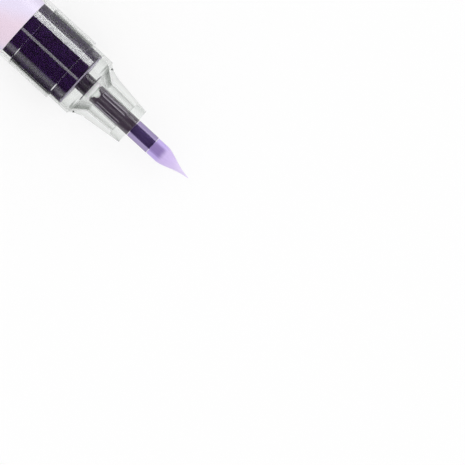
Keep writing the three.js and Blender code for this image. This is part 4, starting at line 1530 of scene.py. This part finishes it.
@dataclass
class BrushNib(SubAssembly):
    """The nib holder, the ferrule and the brush."""

    SLOTS: ClassVar[Point] = (0.0, math.pi)  # angles of the slots in the holder's rear
    # half a slot's width at the holder's rear end, and the rounding of its inner end
    SLOT_WIDTHS: ClassVar[Point] = (1.3, 0.72)
    SLOT_DEPTH: ClassVar[float] = 1.2  # length of a slot
    FLUTE_RAMP: ClassVar[float] = 0.3  # length over which a flute sets in and fades out
    # where a flute's edge gets its painted highlight, in shares of half its width, and the shares off it at
    # which that highlight ends and is full
    FLUTE_GLINT: ClassVar[Corner] = (0.95, 0.3, 0.1)
    STRANDS: ClassVar[Point] = (9.0, 260.0)  # scale of the strands' lines, per radian and per metre
    STRAND_ENDS: ClassVar[Point] = (0.4, 2.5)  # lengths over which the lines set in and fade out
    STRAND_LEVEL: ClassVar[float] = 0.6  # value of the lines' noise at which the brush keeps its size
    slot_top: float = 3.0  # distance from the axis up to which a slot is cut
    bore: float = 1.05  # radius of the holder's bore, which the brush's rod fits
    mouth: float = 1.62  # radius of the funnel at the holder's rear
    pilot: Point = (0.95, 0.84)  # length and radius of the narrow bore behind the rod
    pilot_mouth: float = 1.06  # radius of the funnel's inner end
    flutes: int = 5  # number of flutes round the holder
    flute_turn: float = 44.0  # angle of the first flute from straight up, in degrees towards -Y
    flute_width: float = 22.0  # angle that a flute spans, in degrees
    flute_depth: float = 0.2  # depth of a flute
    flute_ends: Point = (1.3, 2.8)  # length without flutes at the holder's rear and front
    flute_steps: int = 60  # how many steps the holder has along its flutes
    skin: float = 0.05  # how far under the holder's outside the flutes still shape it
    root: float = 2.6  # length of the brush before it tapers
    root_steps: int = 12  # how many steps that length has
    # shares of the taper's length and of the radius, of the point that its start bends towards
    belly: Point = (0.3, 0.9)
    hollow: Point = (0.5, 0.25)  # the same for its end
    taper_steps: int = 48  # how many steps the taper has
    point: float = 0.08  # radius of the brush's point
    strand_depth: float = 0.02  # depth of the fine lines between the brush's strands

    def build(self) -> None:
        """Makes the holder, the ferrule and the brush."""
        self._holder()
        self._ferrule()
        self._brush()

    @staticmethod
    def _flute_tree(material: bpy.types.Material) -> bpy.types.NodeTree:
        """Builds the tree that sinks the flutes into the holder, and marks their edges for a painted
        highlight.

        Args:
            material: The material that the faces get.

        Returns:
            The tree.
        """
        inputs = {
            "Geometry": None, "Count": 5, "First": 0.0, "Width": 0.4, "Depth": 0.0002, "Rear": 0.0,
            "Front": 0.01, "Outside": 0.0019,
        }
        wiring, into, out = new_group("holder_flutes", Kind.GEOMETRY, inputs, ("Geometry",))
        station, angle, radius, outward = radial_nodes(wiring)
        pitch = FULL_TURN / into["Count"]
        half_pitch = pitch * 0.5
        cell = wiring.math("FLOORED_MODULO", angle - into["First"] + half_pitch, pitch) - half_pitch
        share = abs(cell) / (into["Width"] * 0.5)
        ramp = BrushNib.FLUTE_RAMP * MM
        edge, fade, full = BrushNib.FLUTE_GLINT
        rear, front = into["Rear"], into["Front"]
        ends = station.step(rear, rear + ramp) * station.step(front, front - ramp)
        reach = ends * (radius > into["Outside"])
        sink = (1.0 - share * share).clamped() * reach * into["Depth"]
        # Stores the mask of the flute edges that get a painted highlight.
        glint_marked = wiring.add("GeometryNodeStoreNamedAttribute", {
            "Geometry": into["Geometry"], "Name": MouldedPlastic.GLINT_EDGE,
            "Value": abs(share - edge).step(fade, full) * reach,
        })
        moved = move_outward(wiring, glint_marked[0], outward, sink * -1.0)
        return close_tree(wiring, out, moved, material)

    def _holder(self) -> None:
        """Makes the fluted holder."""
        span = AXIS.span("nib_holder")
        rod_rear = AXIS.span("stem_tip").front + SEAT
        pilot_rear = rod_rear - self.pilot[0]
        rear, front = span.rear + self.flute_ends[0], span.front - self.flute_ends[1]
        count = self.flute_steps
        piece = turned("fluted_holder", [
            (span.rear, self.mouth, 0.05), (span.rear, span.radius, 0.12),
            *((rear + (front - rear) * k / count, span.radius, 0.0) for k in range(count + 1)),
            (span.front, span.radius, 0.1), (span.front, self.bore, 0.08), (rod_rear, self.bore, 0.0),
            (rod_rear, self.pilot[1], 0.0), (pilot_rear, self.pilot[1], 0.0),
            (pilot_rear, self.pilot_mouth, 0.0),
        ])
        half, rounding = self.SLOT_WIDTHS
        stations = (span.rear - self.SLOT_DEPTH, span.rear + self.SLOT_DEPTH)
        for angle in self.SLOTS:
            slot = tongue("slot", stations, (2 * half - rounding, rounding), (0.0, self.slot_top), angle)
            combine(piece, slot, Change.CUT)
        run_nodes(piece, self._flute_tree(self.finishes.holder), {
            "Count": self.flutes,
            "First": math.radians(self.flute_turn),
            "Width": math.radians(self.flute_width),
            "Depth": self.flute_depth * MM,
            "Rear": rear * MM,
            "Front": front * MM,
            "Outside": (span.radius - self.skin) * MM,
        })
        dress(piece, self.finishes.holder, Body.NIB, "nib_holder")

    def _ferrule(self) -> None:
        """Makes the tinted clear ferrule."""
        corners = sleeve(AXIS.span("nib_ferrule"), self.bore, 0.05, 0.1)
        piece = turned("ferrule_sleeve", corners, Sides.MIDDLE)
        dress(piece, self.finishes.ferrule, Body.NIB, "nib_ferrule")

    @staticmethod
    def _strand_tree(material: bpy.types.Material) -> bpy.types.NodeTree:
        """Builds the tree that draws fine strands along the brush.

        Args:
            material: The material that the faces get.

        Returns:
            The tree.
        """
        inputs = {"Geometry": None, "Depth": 0.00002, "Rear": 0.022, "Front": 0.032, "Seed": 3.0}
        wiring, into, out = new_group("brush_strands", Kind.GEOMETRY, inputs, ("Geometry",))
        station, angle, _, outward = radial_nodes(wiring)
        (per_radian, per_metre), (growth, fading) = BrushNib.STRANDS, BrushNib.STRAND_ENDS
        place = wiring.combine(angle * per_radian, station * per_metre, into["Seed"])
        centred = wiring.noise(place, 1.0, 2.0) - BrushNib.STRAND_LEVEL
        grown = station.step(into["Rear"], into["Rear"] + growth * MM)
        ending = ((into["Front"] - station) / (fading * MM)).clamped()
        amount = centred * (grown * ending * into["Depth"]) * 2.0
        moved = move_outward(wiring, into["Geometry"], outward, amount)
        return close_tree(wiring, out, moved, material)

    def _brush(self) -> None:
        """Makes the rod and the brush in front of it."""
        span = AXIS.span("brush_nib")
        root_rear = AXIS.span("nib_ferrule").front + SEAT
        taper = root_rear + self.root
        length = span.front - taper
        start = Vector((taper, span.radius))
        belly = Vector((taper + self.belly[0] * length, self.belly[1] * span.radius))
        hollow = Vector((taper + self.hollow[0] * length, self.hollow[1] * span.radius))
        end = Vector((span.front, self.point))
        curve: list[Corner] = []
        for k in range(self.taper_steps + 1):
            t = k / self.taper_steps
            mixed = start * (1 - t) ** 3 + belly * 3 * t * (1 - t) ** 2
            mixed += hollow * 3 * t**2 * (1 - t) + end * t**3
            curve.append((mixed.x, mixed.y, 0.0))
        count = self.root_steps
        rod = self.bore - FIT
        piece = turned("brush_point", [
            (span.rear, 0, 0), (span.rear, rod, 0.1), (root_rear, rod, 0.05), (root_rear, span.radius, 0.15),
            *((root_rear + self.root * k / count, span.radius, 0.0) for k in range(1, count)),
            *curve, (span.front, 0, 0),
        ])
        run_nodes(piece, self._strand_tree(self.finishes.fibre), {
            "Depth": self.strand_depth * MM,
            "Rear": root_rear * MM,
            "Front": span.front * MM,
        })
        dress(piece, self.finishes.fibre, Body.NIB, "brush_nib")


@dataclass
class RearEnd(SubAssembly):
    """The plug in the barrel's rear end, with its sealing ring."""

    ring_setback: float = 3.6  # distance from the plug's inner face to the ring's middle
    ring: float = 0.42  # radius of the ring's section
    ring_steps: int = 24  # how many steps that section has
    collar: float = 0.85  # length of the collar behind the barrel
    spigot_wall: float = 1.5  # thickness of the spigot's wall
    bevel: float = 0.5  # length and depth of the bevel at the spigot's end
    floor: float = 0.6  # thickness of the spigot's floor

    def build(self) -> None:
        """Makes the plug and its ring."""
        self._plug()
        self._ring()

    def _plug(self) -> None:
        """Makes the plug."""
        span, barrel = AXIS.span("rear_plug"), AXIS.span("barrel")
        plug = barrel.radius - ClearBarrel.wall - FIT
        spigot = AXIS.span("nose").radius - ClearNose.bead
        middle = span.front - self.ring_setback
        groove_front, groove_rear = middle + (self.ring + FIT), middle - (self.ring + FIT)
        groove = plug - 2 * self.ring - FIT
        collar_front = barrel.rear - FIT
        collar_rear = collar_front - self.collar
        pocket, floor = spigot - self.spigot_wall, collar_rear - self.floor
        piece = turned("barrel_end_plug", [
            (span.front, 0, 0), (span.front, plug, 0.25), (groove_front, plug, 0.05),
            (groove_front, groove, 0.08), (groove_rear, groove, 0.08), (groove_rear, plug, 0.05),
            (collar_front, plug, 0.05), (collar_front, barrel.radius, 0.12),
            (collar_rear, barrel.radius, 0.18), (collar_rear, spigot, 0.08),
            (span.rear + self.bevel, spigot, 0.2), (span.rear, spigot - self.bevel, 0.2),
            (span.rear, pocket, 0.15), (floor, pocket, 0.2), (floor, 0, 0),
        ])
        dress(piece, self.finishes.violet, Body.MARKER, "rear_plug")

    def _ring(self) -> None:
        """Makes the sealing ring round the plug."""
        middle = (AXIS.span("rear_plug").front - self.ring_setback, AXIS.span("rear_ring").radius - self.ring)
        section = arc(middle, self.ring, math.pi / 2, -FULL_TURN, self.ring_steps)[:-1]
        piece = turned("sealing_ring", [(*point, 0.0) for point in section])
        dress(piece, self.finishes.rubber, Body.MARKER, "rear_ring")


@dataclass
class PostedCap(SubAssembly):
    """The cap on the marker's rear end, with its liner, its button and its clip."""

    BARREL_FACETS: ClassVar[int] = 48  # how many facets the CAD barrel has
    bore_gap: float = 0.08  # gap between the cap's bore and the spigot
    seat_depth: float = 13.6  # depth of the wide bore
    inner: float = 6.3  # radius of the narrower bore behind it
    crown: float = 2.5  # thickness of the crown
    draft: float = 0.2  # how much the cap narrows towards its end
    draft_length: float = 8.0  # length over which it narrows
    edge: float = 0.8  # rounding of the cap's end
    button: float = 4.5  # radius of the button
    button_proud: float = 0.1  # how far the button stands out
    button_depth: float = 1.0  # thickness of the button
    button_stem: float = 1.4  # radius of the button's stem
    # distances from the liner's front to its flange's rear and to the end of its seal
    liner_ends: Point = (1.0, 3.2)
    liner_seal: Point = (4.64, 4.24)  # radius of the liner's mouth and of its seal's end
    liner_tube: float = 3.2  # radius of the liner's tube
    liner_walls: Corner = (0.65, 0.7, 0.6)  # thickness of the walls of the seal, the tube and the end
    clip_width: float = 4.4  # width of the clip
    clip_thickness: float = 1.3  # thickness of the clip's blade
    clip_standoff: float = 1.4  # gap between the cap and the blade
    clip_root: float = 4.0  # length of the clip's root
    clip_setback: float = 1.6  # distance from the cap's end to the root
    clip_rounding: float = 0.22  # rounding of the clip's edges
    bump: float = 1.2  # radius of the bump on the blade
    bump_setback: float = 2.4  # distance from the blade's end to the bump
    clip_gap: float = 0.15  # gap between the root and the cap
    arc_steps: int = 24  # how many steps a half round of the clip's outline has
    tenon: Corner = (2.4, 2.4, 0.6)  # length, width and depth of the tenon that plugs into the cap
    tenon_overlap: float = 0.6  # how far the tenon reaches into the root
    pocket_gap: float = 0.2  # gap round the tenon

    def build(self) -> None:
        """Makes the cap's pieces."""
        self._shell()
        self._button()
        self._liner()
        self._clip()

    def _surface(self) -> float:
        """Returns the radius of the CAD barrel's corners, which the clip is laid out from."""
        return AXIS.span("barrel").radius / math.cos(math.pi / self.BARREL_FACETS)

    def _clip_angle(self) -> float:
        """Finds the angle at which the clip's corner lies on the table.

        Returns:
            The clip's angle round the axis.
        """
        outer = self._surface() + self.clip_standoff + self.clip_thickness
        half = self.clip_width / 2
        from_down = math.acos(AXIS.z / MM / math.hypot(outer, half)) + math.atan2(half, outer)
        return math.pi + from_down

    def _block(self, middle: float, gap: float, radii: Point) -> bpy.types.Object:
        """Makes a block of the tenon's length and width under the clip.

        Args:
            middle: Station of its middle.
            gap: How far it stands out round the tenon.
            radii: Distances of its foot and its top from the axis.

        Returns:
            The block.
        """
        angle = self._clip_angle()
        half_length, half_width = self.tenon[0] / 2 + gap, self.tenon[1] / 2 + gap
        low, high = radii
        outline = ((-half_width, low), (half_width, low), (half_width, high), (-half_width, high))
        stations = (middle - half_length, middle + half_length)
        ends = ([AXIS.beside(end, side, reach, angle) for side, reach in outline] for end in stations)
        return prism("block", *ends)

    def _shell(self) -> None:
        """Makes the cap's shell, with a pocket for the clip's tenon."""
        span = AXIS.span("cap_shell")
        bore = AXIS.span("nose").radius - ClearNose.bead + self.bore_gap
        step = span.front - self.seat_depth
        crown_inside, recess = span.rear + self.crown, span.rear + self.button_depth
        button, stem = self.button + FIT, self.button_stem + FIT
        piece = turned("cap_body", [
            (span.front, bore, 0.08), (span.front, span.radius, 0.15),
            (span.rear + self.draft_length, span.radius, 1.5),
            (span.rear, span.radius - self.draft, self.edge), (span.rear, button, 0.1),
            (recess, button, 0.05), (recess, stem, 0.05), (crown_inside, stem, 0.05),
            (crown_inside, self.inner, 0.4), (step, self.inner, 0.1), (step, bore, 0.1),
        ], steps=8)
        root = span.rear + self.clip_setback + self.clip_root / 2
        floor = span.radius - self.tenon[2] - self.pocket_gap
        combine(piece, self._block(root, self.pocket_gap, (floor, span.radius + OVERSHOOT)), Change.CUT)
        dress(piece, self.finishes.violet, Body.CAP, "cap_shell")

    def _button(self) -> None:
        """Makes the button in the cap's end."""
        span = AXIS.span("cap_button")
        underside = span.rear + self.button_proud + self.button_depth - SEAT
        piece = turned("end_button", [
            (span.rear, 0, 0), (span.rear, self.button, 0.12), (underside, self.button, 0.05),
            (underside, self.button_stem, 0.1), (span.front, self.button_stem, 0.15), (span.front, 0, 0),
        ], Sides.MIDDLE)
        dress(piece, self.finishes.lilac, Body.CAP, "cap_button")

    def _liner(self) -> None:
        """Makes the liner that seals on the nose when the marker is capped."""
        span = AXIS.span("cap_liner")
        flange_rear, seal_end = span.front - self.liner_ends[0], span.front - self.liner_ends[1]
        mouth, seal = self.liner_seal
        wall, tube_wall, end_wall = self.liner_walls
        tube, outside, inside = self.liner_tube, self.liner_tube + tube_wall, span.rear + end_wall
        piece = turned("nose_seal_liner", [
            (span.rear, 0, 0), (span.rear, outside, 0.3), (seal_end - end_wall, outside, 0.3),
            (seal_end, seal + wall, 0.2), (flange_rear, mouth + wall, 0.15), (flange_rear, span.radius, 0.1),
            (span.front, span.radius, 0.15), (span.front, mouth, 0.15), (seal_end, seal, 0.2),
            (seal_end, tube, 0.15), (inside, tube, 0.4), (inside, 0, 0),
        ], Sides.MIDDLE)
        dress(piece, self.finishes.white, Body.CAP, "cap_liner")

    def _clip_outline(self) -> list[Point]:
        """Lays out the clip from the side.

        Returns:
            Stations and radii of its outline.
        """
        span = AXIS.span("cap_clip")
        root = self._surface() + self.clip_gap
        inner = self._surface() + self.clip_standoff
        outer = inner + self.clip_thickness
        root_front = span.rear + self.clip_root
        end, count = self.clip_thickness / 2, self.arc_steps
        return [
            (span.rear, root), (root_front, root), (root_front, inner),
            *arc((span.front - self.bump_setback, root + self.bump), self.bump, math.pi, math.pi, count),
            *arc((span.front - end, inner + end), end, -math.pi / 2, math.pi, count),
            *arc((span.rear + end, outer - end), end, math.pi / 2, math.pi / 2, count // 2),
        ]

    def _clip(self) -> None:
        """Makes the clip, with the tenon that holds it in the cap's wall."""
        angle, half = self._clip_angle(), self.clip_width / 2
        outline = self._clip_outline()
        piece = prism("pocket_clip", *(
            [AXIS.beside(station, side, reach, angle) for station, reach in outline] for side in (-half, half)
        ))
        bevel = piece.modifiers.new("rounding", "BEVEL")
        bevel.width = self.clip_rounding * MM
        bevel.segments = 4
        bevel.limit_method = "ANGLE"
        bevel.angle_limit = math.radians(50)
        bake_modifiers(piece)
        root = AXIS.span("cap_clip").rear + self.clip_root / 2
        surface = self._surface()
        radii = (surface - self.tenon[2], surface + self.clip_gap + self.tenon_overlap)
        combine(piece, self._block(root, 0.0, radii), Change.JOIN)
        dress(piece, self.finishes.violet, Body.CAP, "cap_clip")


@dataclass
class Studio:
    """The table, the light and the camera.

    Surfaces that mirror the table see it with other brightnesses than the camera does, which places the
    bands of light on the tank. The table mirrors white close to the marker, and dimmer further away.
    """

    frame_px: float = 465.0  # side of the photograph's frame, in pixels
    scale: float = 15.0 / 74.0  # millimetres per pixel at the marker's axis
    label_px: Point = (23.8, 27.0)  # where the axis crosses the label's front edge, in pixels
    slope: float = 42.6  # angle of the axis below the horizontal, in degrees
    distance: float = 1.5  # distance of the camera from the axis, in metres
    table_half: float = 12.0  # half the table's side, in metres
    table_drop: float = 0.02  # how far the table lies under the marker
    table_tones: Point = (0.93, 0.95)  # brightness of the table's two tones
    table_white: float = 0.75  # share of plain white in the table's look, which keeps its shadows soft
    # share of the table's brightness that glossy surfaces mirror, on the -Y and +Y side
    mirrored_table: Point = (0.42, 0.2)
    # distances from the axis up to which, and past which, clear walls mirror the table as white and as dim
    mirrored_white: Point = (17.0, 24.0)
    walls_passed: float = 2.5  # number of clear faces on a ray's way past which that white isn't mirrored
    mirrored_edge: Point = (7.0, 8.2)  # the same distances for rays through any number of walls
    # station in front of which the table is mirrored as white through any number of walls
    nose_white: float = 3.5
    # distances over which the -Y side of the mirrored table brightens. The +Y side dims over the same ones
    far_side: Point = (12.0, 45.0)
    close_gain: float = 0.16  # what the +Y side gains close to the marker
    # what the -Y side, and the +Y side close to the marker, gain beside the nose
    beside_nose: Point = (0.36, 0.42)
    nose_start: Point = (0.1, 0.5)  # stations over which that gain sets in
    middle: float = 10.0  # how far from the axis one side of the mirrored table starts to turn into the other
    diffuse: float = 0.92  # brightness of the room as matt surfaces see it
    key: float = 0.4  # strength of the key light
    key_width: float = 60.0  # angle that the key light spans, in degrees
    key_tilt: Point = (-12.0, 8.0)  # how far it is turned about X and about Y from straight down, in degrees
    pale_wall: float = 0.5  # brightness of the wall on the +Y side
    dim_wall: float = 0.3  # brightness of the wall on the -Y side
    ceiling: float = 0.01  # brightness of the ceiling
    end_walls: float = 0.95  # brightness of the walls ahead of the marker and behind it
    wall_border: Point = (-0.3, 0.5)  # Y of the directions between which one wall turns into the other
    ceiling_border: Point = (0.0, 0.2)  # Z of the directions between which the walls turn into the ceiling
    end_border: Point = (0.8, 0.95)  # X of the directions between which the walls turn into the end walls
    # name, angle from straight up towards -Y, width in degrees and brightness of each strip light
    strips: tuple[tuple[str, float, float, float], ...] = (
        ("side_strip", -75.0, 30.0, 2.3),
        ("top_strip", 8.0, 10.0, 0.66),
    )
    strip_reach: float = 1.0  # distance of the strips from the axis, in metres
    strip_length: float = 3.0  # length of the strips, in metres

    def build(self) -> None:
        """Makes the studio."""
        self._camera()
        self._table()
        self._world()
        self._key_light()
        for name, from_up, width, radiance in self.strips:
            self._strip(name, from_up, width, radiance)

    def _camera(self) -> None:
        """Looks straight down on the marker, turned and framed as the photograph is."""
        angle = math.radians(self.slope)
        across = self.frame_px / 2 - self.label_px[0]
        down = self.frame_px / 2 - self.label_px[1]
        along = (across * math.cos(angle) + down * math.sin(angle)) * self.scale
        aside = (down * math.cos(angle) - across * math.sin(angle)) * self.scale
        centre = AXIS.rim_x + (AXIS.span("label_wrap").front + along) * MM
        data = bpy.data.cameras.new("camera")
        data.sensor_width = 36
        data.lens = data.sensor_width * self.distance / (self.frame_px * self.scale * MM)
        data.clip_start = 0.01
        data.clip_end = 50
        camera = new_object("camera", data)
        camera.location = (centre, AXIS.y - aside * MM, AXIS.z + self.distance)
        camera.rotation_euler = (0, 0, angle)
        bpy.context.scene.camera = camera

    @staticmethod
    def _sights(path: Node) -> tuple[Wire, Wire]:
        """Adds the masks of two kinds of rays.

        Args:
            path: The light path's node.

        Returns:
            The mask of rays that come to the camera directly or straight through clear plastic, and the mask
            of rays that light a matt surface.
        """
        matt = path["Diffuse Depth"] > ALMOST_NONE
        straight = path["Diffuse Depth"] + path["Glossy Depth"] < ALMOST_NONE
        return path["Is Camera Ray"].most(path["Is Transmission Ray"] * straight), matt

    def _table(self) -> None:
        """Makes the pale table top, which looks white but keeps the marker's shadow."""
        material, wiring, shader, out = new_material("pale_table")
        skin = wiring.group(GROUPS.grain, Size=4.0, Roughness=0.75, Spread=0.05)
        shader.feed({
            "Base Color": wiring.mix(skin["Cloud"], *((tone,) * 3 for tone in self.table_tones)),
            "Roughness": skin["Roughness"],
            "Specular IOR Level": 0.1,
        })
        path = wiring.add("ShaderNodeLightPath")
        sight, matt = self._sights(path)
        mirrored = (1.0 - sight - matt).clamped()
        place = wiring.split(wiring.object_place())
        aside = place["Y"] - AXIS.y
        distance = abs(aside)
        white, edge, far = ([limit * MM for limit in limits] for limits in (
            self.mirrored_white, self.mirrored_edge, self.far_side,
        ))
        beside = distance.step(white[1], white[0]) * (path["Transmission Depth"] < self.walls_passed)
        in_front = place["X"] > AXIS.rim_x + self.nose_white * MM
        near_white = beside.most(in_front).most(distance.step(edge[1], edge[0])) * mirrored
        nose_rear, nose_front = (AXIS.rim_x + station * MM for station in self.nose_start)
        by_nose = place["X"].step(nose_rear, nose_front)
        left = distance.step(far[0], far[1]) * (by_nose * self.beside_nose[0] + self.mirrored_table[0])
        gain = by_nose * self.beside_nose[1] + self.close_gain
        right = distance.step(far[1], far[0]) * gain + self.mirrored_table[1]
        kept = aside.step(-self.middle * MM, self.middle * MM) * (right - left) + left
        loss = mirrored * (1.0 - kept).clamped()
        dark = wiring.add("ShaderNodeEmission", {"Color": (0, 0, 0), "Strength": 0.0})[0]
        dimmed = wiring.add("ShaderNodeMixShader", {0: loss, 1: shader[0], 2: dark})[0]
        glow = wiring.add("ShaderNodeEmission", {"Color": (1, 1, 1), "Strength": 1.0})[0]
        share = sight.most(near_white) * self.table_white
        out.feed({"Surface": wiring.add("ShaderNodeMixShader", {0: share, 1: dimmed, 2: glow})[0]})
        half = self.table_half
        mesh = bpy.data.meshes.new("table_top")
        corners = [(-half, -half, 0), (half, -half, 0), (half, half, 0), (-half, half, 0)]
        mesh.from_pydata(corners, [], [(0, 1, 2, 3)])
        mesh.materials.append(material)
        table = new_object("table_top", mesh)
        table.location.z = -self.table_drop * MM

    def _world(self) -> None:
        """Surrounds the table with a room: pale on the +Y side and at both ends, dim opposite and above."""
        world = bpy.data.worlds.new("studio")
        wiring = Wiring.of(world)
        direction = wiring.split(wiring.add("ShaderNodeTexCoord")["Generated"])
        sight, matt = self._sights(wiring.add("ShaderNodeLightPath"))
        side = direction["Y"].step(*self.wall_border)
        room = wiring.mix(side, (self.dim_wall,) * 3, (self.pale_wall,) * 3)
        for mask, brightness in (
            (direction["Z"].step(*self.ceiling_border), self.ceiling),
            (abs(direction["X"]).step(*self.end_border), self.end_walls),
            (matt, self.diffuse),
            (sight, 1.0),
        ):
            room = wiring.mix(mask, room, (brightness,) * 3)
        background = wiring.add("ShaderNodeBackground", {"Color": room, "Strength": 1.0})[0]
        wiring.add("ShaderNodeOutputWorld", {"Surface": background})
        bpy.context.scene.world = world

    def _key_light(self) -> None:
        """Adds the soft key light."""
        data = bpy.data.lights.new("key", "SUN")
        data.energy = self.key
        data.angle = math.radians(self.key_width)
        lamp = new_object("key", data)
        lamp.rotation_euler = (*map(math.radians, self.key_tilt), 0)
        lamp.visible_glossy = False
        lamp.visible_transmission = False

    def _strip(self, name: str, from_up: float, width: float, radiance: float) -> None:
        """Adds a long strip of light that shows as a band on round surfaces, and only in reflections.

        Args:
            name: Name of the lamp.
            from_up: Its angle from straight up, in degrees towards -Y.
            width: The angle that it spans, in degrees.
            radiance: How bright it looks.
        """
        angle = math.radians(from_up)
        breadth = 2 * self.strip_reach * math.tan(math.radians(width) / 2)
        data = bpy.data.lights.new(name, "AREA")
        data.shape = "RECTANGLE"
        data.size = self.strip_length
        data.size_y = breadth
        data.energy = math.pi * self.strip_length * breadth * radiance
        wiring = Wiring.of(data)
        _, matt = self._sights(wiring.add("ShaderNodeLightPath"))
        glow = wiring.add("ShaderNodeEmission", {"Strength": 1.0 - matt})[0]
        wiring.add("ShaderNodeOutputLight", {"Surface": glow})
        lamp = new_object(name, data)
        offset = Vector((0, -math.sin(angle), math.cos(angle))) * self.strip_reach
        lamp.location = Vector((AXIS.rim_x, AXIS.y, AXIS.z)) + offset
        lamp.rotation_euler = (angle, 0, 0)
        lamp.visible_camera = False
        lamp.visible_diffuse = False


def main() -> None:
    """Builds the studio and the marker's sub-assemblies."""
    logging.basicConfig(level=logging.INFO, format="%(name)s: %(message)s")
    bpy.context.scene.view_settings.view_transform = "Standard"
    Studio().build()
    finishes = Finishes()
    for sub_assembly in (ClearBarrel, PaintSupply, ClearNose, Valve, BrushNib, RearEnd, PostedCap):
        sub_assembly(finishes).build()


if __name__ == "__main__":
    main()
